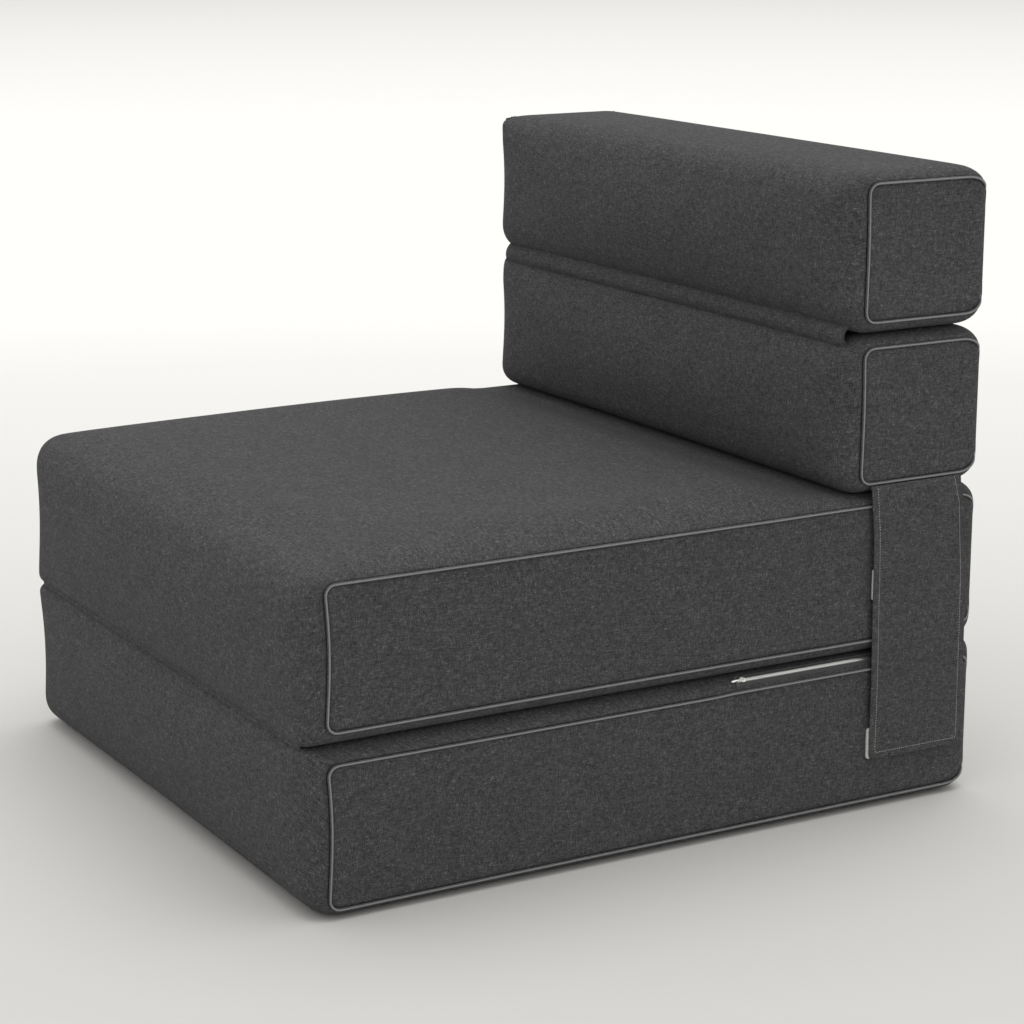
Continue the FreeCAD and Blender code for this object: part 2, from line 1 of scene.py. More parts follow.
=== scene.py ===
# Convertible chair bed in a dark linen-look fabric: four foam blocks in piped covers, joined by
# fabric hinges, with a flap of the same fabric over each end. Metres, +Z up, the front faces -Y.
import bpy
import math
import numpy as np
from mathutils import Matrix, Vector


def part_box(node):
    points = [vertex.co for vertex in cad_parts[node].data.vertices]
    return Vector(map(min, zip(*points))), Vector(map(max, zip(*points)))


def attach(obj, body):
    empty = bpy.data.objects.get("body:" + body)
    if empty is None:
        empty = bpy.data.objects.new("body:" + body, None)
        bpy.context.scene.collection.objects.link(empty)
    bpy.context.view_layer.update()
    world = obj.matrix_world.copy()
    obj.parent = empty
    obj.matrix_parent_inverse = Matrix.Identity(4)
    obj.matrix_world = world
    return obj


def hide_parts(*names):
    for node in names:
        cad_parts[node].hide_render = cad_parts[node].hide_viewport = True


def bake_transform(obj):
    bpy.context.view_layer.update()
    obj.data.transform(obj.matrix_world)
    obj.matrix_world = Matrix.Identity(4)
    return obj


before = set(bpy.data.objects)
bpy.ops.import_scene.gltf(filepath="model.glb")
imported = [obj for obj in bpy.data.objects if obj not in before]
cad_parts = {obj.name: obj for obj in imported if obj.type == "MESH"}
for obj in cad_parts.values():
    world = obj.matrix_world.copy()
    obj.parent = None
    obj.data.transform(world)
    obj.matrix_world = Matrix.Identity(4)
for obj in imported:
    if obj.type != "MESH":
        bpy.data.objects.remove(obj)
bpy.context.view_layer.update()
mm = 0.001
print("frame loaded:", len(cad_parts), "pieces of the model")

cameraSettings = {
    "place": (2.6055, -1.4585, 1.0158),
    "azimuth": 60.22,  # degrees, from straight in front towards the right end
    "downward": 13.72,
    "lens": 95.2,
    "sensor": 36,
    "clip": (0.1, 300),
}


def makeCamera(s):
    data = bpy.data.cameras.new("camera")
    data.lens = s["lens"]
    data.sensor_width = s["sensor"]
    data.clip_start, data.clip_end = s["clip"]
    camera = bpy.data.objects.new("camera", data)
    azimuth, downward = math.radians(s["azimuth"]), math.radians(s["downward"])
    forward = Vector((
        -math.sin(azimuth) * math.cos(downward),
        math.cos(azimuth) * math.cos(downward),
        -math.sin(downward),
    ))
    camera.location = s["place"]
    camera.rotation_euler = forward.to_track_quat("-Z", "Y").to_euler()
    bpy.context.scene.collection.objects.link(camera)
    bpy.context.scene.camera = camera


makeCamera(cameraSettings)
bpy.context.scene.view_settings.view_transform = "Standard"  # keeps the floor white
print("camera set")


# Adds one node to a tree. An input is a value, or an output to link to it.
def addNode(tree, kind, inputs=None, **settings):
    node = tree.nodes.new(kind)
    for name, value in settings.items():
        setattr(node, name, value)
    for name, value in (inputs or {}).items():
        if isinstance(value, bpy.types.NodeSocket):
            tree.links.new(value, node.inputs[name])
        else:
            node.inputs[name].default_value = value
    return node


# An sRGB hex colour as the linear colour that the shaders take.
def linearColour(hexValue):
    parts = [int(hexValue[k:k + 2], 16) / 255 for k in (1, 3, 5)]
    return tuple(c / 12.92 if c <= 0.04045 else ((c + 0.055) / 1.055) ** 2.4 for c in parts) + (1.0,)


def startMaterial(name):
    material = bpy.data.materials.new(name)
    material.use_nodes = True
    tree = material.node_tree
    tree.nodes.clear()
    shader = addNode(tree, "ShaderNodeBsdfPrincipled")
    addNode(tree, "ShaderNodeOutputMaterial", {"Surface": shader.outputs[0]})
    return material, tree, shader


def setRamp(node, stops):
    ramp = node.color_ramp
    while len(ramp.elements) < len(stops):
        ramp.elements.new(0.5)
    for element, (place, hexValue) in zip(ramp.elements, stops):
        element.position = place
        element.color = linearColour(hexValue)


# Woven polyester, linen look: thick and thin yarns of three greys, plain weave. The eye sees a
# matt charcoal cloth with short light and dark streaks along both threads.
linenSettings = {
    "stops": ((0.26, "#232324"), (0.43, "#3f3f40"), (0.56, "#4e4e4f"), (0.75, "#757577")),
    "threadSpacing": 1.1,  # mm; the real one is about 0.7, drawn coarser so that it shows
    "slubLength": 7.0,  # mm
    "speckle": 0.06,  # how much one crossing differs from the next
    "cloudSize": 45.0,  # mm, of the faint uneven dyeing
    "roughness": 0.95,
    "sheen": 0.02,
    "bumpHeight": 0.3,  # mm
    "drift": 0.008,  # the most that the dyeing changes the tone
    "overShare": (0.25, 0.75),  # how much of each thread shows where the other lies over it
}


def makeLinen(name, s):
    material, tree, shader = startMaterial(name)
    place = addNode(tree, "ShaderNodeUVMap", uv_map="weave").outputs[0]
    across = addNode(tree, "ShaderNodeSeparateXYZ", {0: place})
    threads, cells, domes = [], [], []
    for k in range(2):
        count = addNode(
            tree, "ShaderNodeMath", {0: across.outputs[k], 1: 1 / s["threadSpacing"]}, operation="MULTIPLY"
        ).outputs[0]
        cells.append(addNode(tree, "ShaderNodeMath", {0: count}, operation="FLOOR").outputs[0])
        half = addNode(tree, "ShaderNodeMath", {0: count, 1: math.pi}, operation="MULTIPLY").outputs[0]
        wave = addNode(tree, "ShaderNodeMath", {0: half}, operation="SINE").outputs[0]
        domes.append(addNode(tree, "ShaderNodeMath", {0: wave}, operation="ABSOLUTE").outputs[0])
    for k in range(2):
        own = addNode(tree, "ShaderNodeMath", {0: cells[k], 1: 17.31}, operation="MULTIPLY").outputs[0]
        along = addNode(
            tree, "ShaderNodeMath", {0: across.outputs[1 - k], 1: 1 / s["slubLength"]}, operation="MULTIPLY"
        ).outputs[0]
        spot = addNode(tree, "ShaderNodeCombineXYZ", {0: own, 1: along, 2: 3.7 * k}).outputs[0]
        thread = {"Vector": spot, "Scale": 1.0, "Detail": 3.0, "Roughness": 0.65}
        threads.append(addNode(tree, "ShaderNodeTexNoise", thread))
    both = addNode(tree, "ShaderNodeMath", {0: cells[0], 1: cells[1]}, operation="ADD").outputs[0]
    over = addNode(tree, "ShaderNodeMath", {0: both, 1: 2.0}, operation="FLOORED_MODULO").outputs[0]
    under, top = s["overShare"]
    weight = addNode(tree, "ShaderNodeMapRange", {0: over, 3: under, 4: top}).outputs[0]
    yarn = addNode(
        tree, "ShaderNodeMix", {"Factor": weight, "A": threads[0].outputs[0], "B": threads[1].outputs[0]}
    ).outputs[0]
    flat = addNode(
        tree, "ShaderNodeVectorMath", {0: place, 1: (1 / s["cloudSize"],) * 3}, operation="MULTIPLY"
    )
    cloud = addNode(tree, "ShaderNodeTexNoise", {"Vector": flat.outputs[0], "Scale": 1.0, "Detail": 2.0})
    drift = addNode(
        tree, "ShaderNodeMapRange", {0: cloud.outputs[0], 1: 0.3, 2: 0.7, 3: -s["drift"], 4: s["drift"]}
    )
    cell = addNode(tree, "ShaderNodeCombineXYZ", {0: cells[0], 1: cells[1]}).outputs[0]
    speck = addNode(tree, "ShaderNodeTexWhiteNoise", {"Vector": cell}, noise_dimensions="3D").outputs["Value"]
    fleck = addNode(tree, "ShaderNodeMapRange", {0: speck, 3: -s["speckle"], 4: s["speckle"]}).outputs[0]
    mixed = addNode(tree, "ShaderNodeMath", {0: yarn, 1: drift.outputs[0]}, operation="ADD").outputs[0]
    tone = addNode(tree, "ShaderNodeMath", {0: mixed, 1: fleck}, operation="ADD").outputs[0]
    ramp = addNode(tree, "ShaderNodeValToRGB", {0: tone})
    setRamp(ramp, s["stops"])
    dome = addNode(tree, "ShaderNodeMath", {0: domes[0], 1: domes[1]}, operation="MULTIPLY").outputs[0]
    height = addNode(tree, "ShaderNodeMath", {0: dome, 1: yarn}, operation="MULTIPLY").outputs[0]
    bump = addNode(
        tree, "ShaderNodeBump", {"Height": height, "Distance": s["bumpHeight"] * mm, "Strength": 0.8}
    )
    colour = ramp.outputs[0]
    if "paintedCrestHighlight" in s:  # painted highlight: the colour is paler in a stripe along the cord's crest
        paintedCrestHighlight = s["paintedCrestHighlight"]
        turn = addNode(tree, "ShaderNodeMath", {0: across.outputs[1], 1: paintedCrestHighlight["round"]}, operation="DIVIDE")
        away = addNode(tree, "ShaderNodeMath", {0: turn.outputs[0], 1: 0.5}, operation="SUBTRACT")
        off = addNode(tree, "ShaderNodeMath", {0: away.outputs[0]}, operation="ABSOLUTE")
        outer, inner = paintedCrestHighlight["reach"]
        paintedHighlightMask = addNode(
            tree, "ShaderNodeMapRange", {0: off.outputs[0], 1: outer, 2: inner, 3: 0.0, 4: paintedCrestHighlight["share"]}
        )
        colour = addNode(
            tree, "ShaderNodeMix", {"Factor": paintedHighlightMask.outputs[0], 6: colour, 7: linearColour(paintedCrestHighlight["colour"])},
            data_type="RGBA",
        ).outputs[2]
    tree.links.new(colour, shader.inputs["Base Color"])
    tree.links.new(bump.outputs[0], shader.inputs["Normal"])
    shader.inputs["Roughness"].default_value = s["roughness"]
    shader.inputs["Specular IOR Level"].default_value = 0.08
    shader.inputs["Sheen Weight"].default_value = s["sheen"]
    shader.inputs["Sheen Roughness"].default_value = 0.5
    return material


linen = makeLinen("linenLookPolyester", linenSettings)
print("fabric made")


# Points (y, z) round a rounded box, from its front lower corner along the bottom to the rear. The
# count of points doesn't depend on its size, so that one loop joins to another.
def roundedLoop(low, high, radii, counts):
    deepCount, tallCount, arcCount = counts
    (y0, z0), (y1, z1) = low, high
    rfb, rrb, rrt, rft = radii
    corners = [
        ((y0 + rfb, z0 + rfb), rfb, 180),
        ((y1 - rrb, z0 + rrb), rrb, 270),
        ((y1 - rrt, z1 - rrt), rrt, 0),
        ((y0 + rft, z1 - rft), rft, 90),
    ]
    sides = [deepCount, tallCount, deepCount, tallCount]
    points = []
    for k, ((cy, cz), r, start) in enumerate(corners):
        angles = np.radians(start + np.linspace(0, 90, arcCount + 1))
        arc = np.stack([cy + r * np.cos(angles), cz + r * np.sin(angles)], 1)
        (ny, nz), nr, nstart = corners[(k + 1) % 4]
        begin = math.radians(nstart)
        onward = np.array([ny + nr * math.cos(begin), nz + nr * math.sin(begin)])
        steps = np.linspace(0, 1, sides[k] + 1)[1:-1, None]
        points += [arc, arc[-1] + (onward - arc[-1]) * steps]
    return np.concatenate(points)


# Fills a loop of points with a grid: rows of indices, where those from firstNew on are new points.
def fillLoop(loop, indices, counts, firstNew):
    deepCount, tallCount, arcCount = counts
    across, up = deepCount + arcCount, tallCount + arcCount
    total = len(loop)
    at = [(arcCount // 2 + k) % total for k in range(total)]
    bottom = at[:across + 1]
    rear = at[across:across + up + 1]
    top = at[across + up:2 * across + up + 1][::-1]
    front = [at[(2 * across + up + k) % total] for k in range(up + 1)][::-1]
    u = np.linspace(0, 1, across + 1)[:, None, None]
    v = np.linspace(0, 1, up + 1)[None, :, None]
    corner = [loop[k] for k in (bottom[0], bottom[-1], top[0], top[-1])]
    patch = (
        (1 - v) * loop[bottom][:, None] + v * loop[top][:, None]
        + (1 - u) * loop[front][None] + u * loop[rear][None]
        - (1 - u) * (1 - v) * corner[0] - u * (1 - v) * corner[1]
        - (1 - u) * v * corner[2] - u * v * corner[3]
    )
    index = np.zeros((across + 1, up + 1), int)
    index[:, 0], index[:, -1] = indices[bottom], indices[top]
    index[0, :], index[-1, :] = indices[front], indices[rear]
    index[1:-1, 1:-1] = firstNew + np.arange((across - 1) * (up - 1)).reshape(across - 1, up - 1)
    return index, patch[1:-1, 1:-1].reshape(-1, loop.shape[1])


def gridFaces(index, flip=False):
    a, b, c, d = index[:-1, :-1], index[1:, :-1], index[1:, 1:], index[:-1, 1:]
    order = [a, d, c, b] if flip else [a, b, c, d]
    return np.stack(order, -1).reshape(-1, 4)


# Faces and their weave places in mm, from grids of (indices, places, flip).
def joinGrids(grids):
    faces = [gridFaces(index, flip) for index, _, flip in grids]
    weave = []
    for index, places, flip in grids:
        own = np.arange(index.size).reshape(index.shape)
        weave.append(places.reshape(-1, 2)[gridFaces(own, flip)].reshape(-1, 2))
    return np.concatenate(faces), np.concatenate(weave)


# A smooth piece from points in mm.
def makePiece(name, points, faces, material, weave=None, subdivide=0):
    mesh = bpy.data.meshes.new(name)
    mesh.from_pydata((np.asarray(points) * mm).tolist(), [], np.asarray(faces).tolist())
    if weave is not None:
        layer = mesh.uv_layers.new(name="weave")
        layer.uv.foreach_set("vector", np.asarray(weave, np.float32).ravel())
    mesh.polygons.foreach_set("use_smooth", [True] * len(mesh.polygons))
    mesh.materials.append(material)
    mesh.update()
    piece = bpy.data.objects.new(name, mesh)
    bpy.context.scene.collection.objects.link(piece)
    if subdivide:
        smooth = piece.modifiers.new("smooth", "SUBSURF")
        smooth.levels = smooth.render_levels = subdivide
    return piece


def smoothStep(value, start, end):
    t = np.clip((value - start) / (end - start), 0, 1)
    return t * t * (3 - 2 * t)


# Each block: radii of its long edges in mm, in the order front lower, rear lower, rear upper,
# front upper; how far each side swells; how far its seams stand below where they are drawn.
cushionSettings = {
    "lower_seat": {
        "radii": (38, 34, 20, 10),
        "swell": {"front": 7, "rear": 8, "top": 0, "bottom": 0, "end": 1.5},
        "seamDrop": 3,
    },
    "upper_seat": {
        "radii": (10, 20, 28, 40),
        "swell": {"front": 8, "rear": 8, "top": 14, "bottom": 0, "end": 1.5},
        "seamDrop": -2,
    },
    "lower_back": {
        "radii": (28, 34, 34, 38),
        "swell": {"front": 10, "rear": 12, "top": 0, "bottom": 0, "end": 2.5},
        "seamDrop": 0,
    },
    "upper_back": {
        "radii": (38, 34, 36, 30),
        "swell": {"front": 10, "rear": 12, "top": 6, "bottom": 0, "end": 2.5},
        "seamDrop": -1.5,
    },
}
shapeSettings = {
    "rimDepth": 24,  # mm, from the band to the face of the end
    "rearRound": 24,  # radius of the end panel where it turns round the rear
    "rimTurns": (90, 83, 74, 63, 52, 39, 26, 13, 0),
    "seamCorner": 12,  # radius of the seam's front corners
    "rearCorner": 32,
    "seamGroove": 2.6,
    "seamBow": 5.5,  # how far the upright seams are drawn in at half height
    "panelInsets": (2.5, 6, 12),
    "pipingRadius": 2.1,
    "pipingShow": 0.78,  # share of it that shows, sunk in the seam
    "pipingStand": 0.8,
    "rearSink": 6,  # how far the piping sinks into the seam behind the block
    "spacing": 11,  # mm between the points of the band
    "arcCount": 6,
    "rearSeam": 2,  # from the rear of the block to the seam there
    "heldDown": (130, 218),  # the upper seat's top is pressed flat by the back behind these
    "zipBed": {"in": (20, 12), "down": (22, 16), "ends": (30, 6)},  # where the zip keeps the cover down
}


# The rest shape of a block, as rings of points from its left end to its right one.
def blockRings(name, s, shape):
    low, high = (np.array(c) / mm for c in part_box(f"{name}_cover"))
    seamLow, seamHigh = (np.array(c)[1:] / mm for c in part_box(f"{name}_piping_right"))
    drop = np.array([0, s["seamDrop"]])
    seamLow, seamHigh = seamLow + shape["pipingRadius"] - drop, seamHigh - shape["pipingRadius"] - drop
    seamHigh[0] = high[1] - shape["rearSeam"]
    turnStart = high[1] - shape["rearRound"]
    deepCount = round((high[1] - low[1] - 55) / shape["spacing"])
    tallCount = round((high[2] - low[2] - 50) / shape["spacing"])
    counts = (deepCount, tallCount, shape["arcCount"])
    band = roundedLoop(low[1:], high[1:], s["radii"], counts)
    corners = np.array([shape["seamCorner"], shape["rearCorner"], shape["rearCorner"], shape["seamCorner"]])
    seam = roundedLoop(seamLow, seamHigh, corners, counts)

    def faceX(loop):  # the end's face, which turns away from the end towards the rear
        past = np.clip((loop[:, 0] - turnStart) / shape["rearRound"], 0, 0.985)
        return high[0] - (shape["rimDepth"] - 3) * (1 - np.sqrt(1 - past ** 2))

    rings = []
    for inset in reversed(shape["panelInsets"]):
        radii = np.maximum(corners - inset * 0.7, 4)
        loop = roundedLoop(seamLow + inset, seamHigh - inset, radii, counts)
        rings.append((faceX(loop), loop))
    straight = high[0] - shape["rimDepth"]
    for turn in np.radians(shape["rimTurns"]):
        x = straight + (faceX(seam) - straight) * math.sin(turn)
        rings.append((x, band + (seam - band) * (1 - math.cos(turn))))
    at = len(shape["panelInsets"])
    rings[at] = (faceX(seam) - shape["seamGroove"], seam)
    for x in np.linspace(straight, 0, round(straight / shape["spacing"]) + 1)[1:]:
        rings.append((np.full(len(band), x), band))
    loops = [np.column_stack([-x, loop]) for x, loop in rings]
    loops += [np.column_stack([x, loop]) for x, loop in rings[-2::-1]]
    return np.array(loops), counts, (low, high)


def wrapRings(index):
    return np.column_stack([index, index[:, 0]])


def closedForm(rings, counts):
    ringCount, total = rings.shape[:2]
    points = rings.reshape(-1, 3)
    index = np.arange(ringCount * total).reshape(ringCount, total)
    left, leftNew = fillLoop(rings[0], index[0], counts, len(points))
    points = np.concatenate([points, leftNew])
    right, rightNew = fillLoop(rings[-1], index[-1], counts, len(points))
    points = np.concatenate([points, rightNew])
    faces = np.concatenate([gridFaces(wrapRings(index), True), gridFaces(left, True), gridFaces(right)])
    return points, faces, left, right


clothSettings = {
    "pressure": 0.25, "frames": 20, "stiffness": 15.0, "bending": 0.5, "mass": 0.3,
    "cap": 12,  # mm, the most that a point may move
    "quickSpread": 55,
    "quickDepth": 12,
}


# Swells the blocks with air pressure in their covers, as the foam fills them.
def swellTogether(forms, s):
    scene = bpy.context.scene
    for piece in forms.values():
        cloth = piece.modifiers.new("swell", "CLOTH")
        cloth.settings.quality = 4
        cloth.settings.mass = s["mass"]
        cloth.settings.tension_stiffness = cloth.settings.compression_stiffness = s["stiffness"]
        cloth.settings.bending_stiffness = s["bending"]
        cloth.settings.use_pressure = True
        cloth.settings.uniform_pressure_force = s["pressure"]
        cloth.settings.effector_weights.gravity = 0
        cloth.collision_settings.use_collision = False
        cloth.point_cache.frame_start = 1
        cloth.point_cache.frame_end = s["frames"]
    for step in range(1, s["frames"] + 1):
        scene.frame_set(step)
    graph = bpy.context.evaluated_depsgraph_get()
    swollen = {}
    for name, piece in forms.items():
        mesh = piece.evaluated_get(graph).data
        points = np.zeros(len(mesh.vertices) * 3)
        mesh.vertices.foreach_get("co", points)
        swollen[name] = points.reshape(-1, 3) / mm
    scene.frame_set(1)
    return swollen


# Keeps the swelling to what the block's neighbours and the floor leave it.
def settle(name, rest, moved, faces, limits, s, shape, cap):
    low, high = limits
    middle = (low + high) / 2
    move = moved - rest
    length = np.linalg.norm(move, axis=1, keepdims=True)
    move = move * np.minimum(1, cap / np.maximum(length, 1e-6))
    edges = np.concatenate([faces[:, [0, 1]], faces[:, [1, 2]], faces[:, [2, 3]], faces[:, [3, 0]]])
    for _ in range(3):  # evens out the points' movement
        total, near = np.zeros_like(move), np.zeros(len(move))
        np.add.at(total, edges[:, 0], move[edges[:, 1]])
        np.add.at(near, edges[:, 0], 1)
        move = move * 0.5 + total / np.maximum(near, 1)[:, None] * 0.5
    swell = s["swell"]
    outward = np.sign(rest - middle)
    limit = np.stack([
        np.full(len(rest), swell["end"]),
        np.where(rest[:, 1] < middle[1], swell["front"], swell["rear"]),
        np.where(rest[:, 2] > middle[2], swell["top"], swell["bottom"]),
    ], 1)
    move = np.where(move * outward > 0, move * limit / cap, move * 0.25)  # hardly any inward
    if name == "upper_seat":  # held down where the back stands on it
        move[:, 2] *= 1 - smoothStep(rest[:, 1], *shape["heldDown"])
    toEnd = smoothStep(np.abs(rest[:, 0]), high[0] - shape["rimDepth"] - 22, high[0] - 4)
    along = np.minimum((rest[:, 1] - middle[1]) / (high[1] - middle[1]), 0)  # the front only
    tall = np.clip((rest[:, 2] - low[2] - 12) / (high[2] - low[2] - 24), 0, 1)
    bow = shape["seamBow"] * np.sin(math.pi * tall ** 1.15)
    move[:, 1] -= np.sign(along) * np.abs(along) ** 5 * bow * toEnd
    side, start, end, zipX, zipZ = zipPlaces[name]
    bed = shape["zipBed"]
    atZip = smoothStep(side * rest[:, 0], high[0] - bed["in"][0], high[0] - bed["in"][1])
    atZip = atZip * smoothStep(rest[:, 2], high[2] - bed["down"][0], high[2] - bed["down"][1])
    far, near = bed["ends"]
    afterEnd = 1 - smoothStep(rest[:, 1], end + near, end + far)
    atZip *= smoothStep(rest[:, 1], start - far, start - near) * afterEnd
    points = rest + move * (1 - atZip[:, None])
    h = math.sqrt(0.5)  # the zip lies on the rounded edge, at 45 degrees
    fromZip = np.stack([side * points[:, 0] - zipX, points[:, 2] - zipZ], 1)
    rise, across = (fromZip[:, 0] + fromZip[:, 1]) * h, (fromZip[:, 0] - fromZip[:, 1]) * h
    lift = (-0.5 - rise - 0.03 * across ** 2) * atZip * (1 - smoothStep(np.abs(across), 6, 15))
    points[:, 0] += side * lift * h
    points[:, 2] += lift * h
    ceiling = {"lower_seat": 0.25, "lower_back": 0.25}.get(name)
    if ceiling is not None:  # the block above stands on it
        points[:, 2] = np.minimum(points[:, 2], high[2] + ceiling)
    points[:, 2] = np.maximum(points[:, 2], low[2])
    return points


# Each zip's end, its start and end along y, and the middle of its tape.
zipPlaces = {}
for name in cushionSettings:
    low, high = (np.array(c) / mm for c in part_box(f"{name}_zip_teeth"))
    tape = (np.array(c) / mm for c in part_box(f"{name}_zip_tape"))
    centre = sum(tape) / 2
    zipPlaces[name] = (1 if low[0] > 0 else -1, low[1], high[1], abs(centre[0]), centre[2])

blocks = {}
for name, s in cushionSettings.items():
    rings, counts, limits = blockRings(name, s, shapeSettings)
    points, faces, left, right = closedForm(rings, counts)
    blocks[name] = {
        "shape": rings.shape, "counts": counts, "limits": limits, "rest": points, "faces": faces,
        "left": left, "right": right,
    }
forms = {n: makePiece(f"{n}_form", b["rest"], b["faces"], linen) for n, b in blocks.items()}
moved = swellTogether(forms, clothSettings)
for form in forms.values():
    bpy.data.objects.remove(form)
for name, block in blocks.items():
    block["points"] = settle(
        name, block["rest"], moved[name], block["faces"], block["limits"], cushionSettings[name],
        shapeSettings, clothSettings["cap"],
    )
print("blocks swollen")


# The closed cushion of a block, whose ends are hidden behind its end panels.
def makeCushion(name, block, shape):
    ringCount, total, _ = block["shape"]
    rings = block["points"][:ringCount * total].reshape(ringCount, total, 3)
    at = len(shape["panelInsets"])
    centre = rings[at].mean(0)
    kept = list(rings[at:-at])
    for end in (0, -1):
        side = -1 if end == 0 else 1
        ring = kept[end]
        for back, shrink in ((3, 0.6), (6, 2.5)):
            toMiddle = centre[1:] - ring[:, 1:]
            toMiddle /= np.linalg.norm(toMiddle, axis=1, keepdims=True)
            tucked = ring.copy()
            tucked[:, 1:] += toMiddle * shrink
            tucked[:, 0] -= side * back
            kept = [tucked] + kept if end == 0 else kept + [tucked]
    kept = np.array(kept)
    points, _, left, right = closedForm(kept, block["counts"])
    index = wrapRings(np.arange(kept.shape[0] * total).reshape(kept.shape[0], total))
    middle = kept[len(kept) // 2]
    girth = np.concatenate([[0], np.cumsum(np.linalg.norm(np.roll(middle, -1, 0) - middle, axis=1))])
    along = np.concatenate([[0], np.cumsum(np.linalg.norm(kept[1:] - kept[:-1], axis=2).mean(1))])
    places = np.stack(np.broadcast_arrays(along[:, None], girth[None, :]), -1)
    grids = [
        (index, places, True),
        (left, points[left][..., 1:], True),
        (right, points[right][..., 1:], False),
    ]
    faces, weave = joinGrids(grids)
    piece = makePiece(f"{name}_cushion", points, faces, linen, weave, 1)
    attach(piece, f"{name}_block")
    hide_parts(f"{name}_foam", f"{name}_cover")
    block["band"] = kept


# An end panel, a thin closed pad with its edge turned in at the seam.
def makeEndPanel(name, block, side, shape):
    ringCount, total, _ = block["shape"]
    index = np.arange(ringCount * total).reshape(ringCount, total)
    at = len(shape["panelInsets"])
    rows = index[:at + 1] if side < 0 else index[::-1][:at + 1]
    grid = block["left"] if side < 0 else block["right"]
    used, inverse = np.unique(np.concatenate([rows.ravel(), grid.ravel()]), return_inverse=True)
    rowsHere = inverse[:rows.size].reshape(rows.shape)
    gridHere = inverse[rows.size:].reshape(grid.shape)
    front = block["points"][used]
    back = front.copy()
    back[:, 0] -= side * 2.4
    points = np.concatenate([front, back])
    places = points[:, 1:] * np.array([side, 1])
    count = len(front)
    grids = []
    for indices in (wrapRings(rowsHere), gridHere):
        grids.append((indices, places[indices], side < 0))
        grids.append((indices + count, places[indices], side > 0))
    edge = wrapRings(rowsHere)[-1]
    rim = np.stack([edge, edge + count])
    grids.append((rim, places[rim], side < 0))
    faces, weave = joinGrids(grids)
    piece = makePiece(f"{name}_end_{'right' if side > 0 else 'left'}", points, faces, linen, weave, 1)
    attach(piece, f"{name}_block")
    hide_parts(f"{name}_end_panel_{'right' if side > 0 else 'left'}")


# A round cord along a path of points in mm.
def tubeAlong(path, radius, sides, closed, turn=0):
    if closed:
        ahead, behind = np.roll(path, -1, 0), np.roll(path, 1, 0)
    else:
        ahead, behind = np.vstack([path[1:], path[-1:]]), np.vstack([path[:1], path[:-1]])
    tangent = ahead - behind
    tangent /= np.linalg.norm(tangent, axis=1, keepdims=True)
    sideways = np.cross(tangent, [1.0, 0.0, 0.0])
    sideways /= np.linalg.norm(sideways, axis=1, keepdims=True)
    other = np.cross(tangent, sideways)
    angles = np.linspace(0, 2 * math.pi, sides + 1)[:-1] + math.radians(turn)
    ring = np.cos(angles)[None, :, None] * sideways[:, None]
    ring = ring + np.sin(angles)[None, :, None] * other[:, None]
    points = (path[:, None] + radius * ring).reshape(-1, 3)
    count = len(path)
    index = wrapRings(np.arange(count * sides).reshape(count, sides))
    lengths = np.linalg.norm(path - behind, axis=1)
    along = np.cumsum(lengths)
    if closed:
        index = np.vstack([index, index[:1]])
        along = np.append(along, along[-1] + lengths[0])
    girth = np.arange(sides + 1) * 2 * math.pi * radius / sides
    places = np.stack(np.broadcast_arrays(along[:, None], girth[None, :]), -1)
    faces, weave = joinGrids([(index, places, False)])
    return points, faces, weave


def makePiping(name, block, side, shape):
    ringCount, total, _ = block["shape"]
    at = len(shape["panelInsets"])
    rings = block["points"][:ringCount * total].reshape(ringCount, total, 3)
    path = rings[at if side < 0 else -1 - at].copy()
    rear = block["limits"][1][1]
    atRear = smoothStep(path[:, 1], rear - 12, rear - 3)
    path[:, 0] += side * (shape["seamGroove"] + shape["pipingStand"] - shape["rearSink"] * atRear)
    radius = shape["pipingRadius"] * shape["pipingShow"]
    points, faces, weave = tubeAlong(path, radius, 12, True, side * 90)
    piece = makePiece(f"{name}_welt_{'right' if side > 0 else 'left'}", points, faces, pipingCloth, weave, 1)
    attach(piece, f"{name}_block")
    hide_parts(f"{name}_piping_{'right' if side > 0 else 'left'}")


# Piping: the same cloth cut on the bias and drawn tight over a cord, with a painted highlight: a paler stripe
# painted along its crest.
pipingSettings = dict(
    linenSettings, stops=((0.22, "#2c2c2d"), (0.42, "#464647"), (0.56, "#565657"), (0.8, "#78787a")),
    threadSpacing=1.0, sheen=0.2,  # the spacing is drawn coarser here too
    # painted highlight along the cord's crest: its place round the cord, its width, how strongly it is
    # painted, and its colour
    paintedCrestHighlight={
        "round": 2 * math.pi * shapeSettings["pipingRadius"] * shapeSettings["pipingShow"],
        "reach": (0.12, 0.03),
        "share": 0.75,
        "colour": "#98989a",
    },
)
pipingCloth = makeLinen("biasCutPipingPaintedHighlight", pipingSettings)

for name, block in blocks.items():
    makeCushion(name, block, shapeSettings)
    for side in (-1, 1):
        makeEndPanel(name, block, side, shapeSettings)
        makePiping(name, block, side, shapeSettings)
print("cushions, end panels and piping made")


# Half the height of each strip, how far it bows out, how much further than in the model it runs to
# each side, and how far its sewn edges sink into the covers, all in mm.
hingeSettings = {
    "back": {
        "half": 12.0, "bow": 7.0, "more": 16, "sink": 2.5, "front": True,
        "blocks": ("lower_back", "upper_back"),
    },
    "seat": {
        "half": 6.0, "bow": 1.5, "more": 12, "sink": 4.5, "front": True,
        "blocks": ("lower_seat", "upper_seat"),
    },
    "rear": {
        "half": 12.0, "bow": 3.0, "more": 0, "sink": 0.6, "front": False,
        "blocks": ("upper_seat", "lower_back"),
    },
}
hingeWall = 1.2  # mm


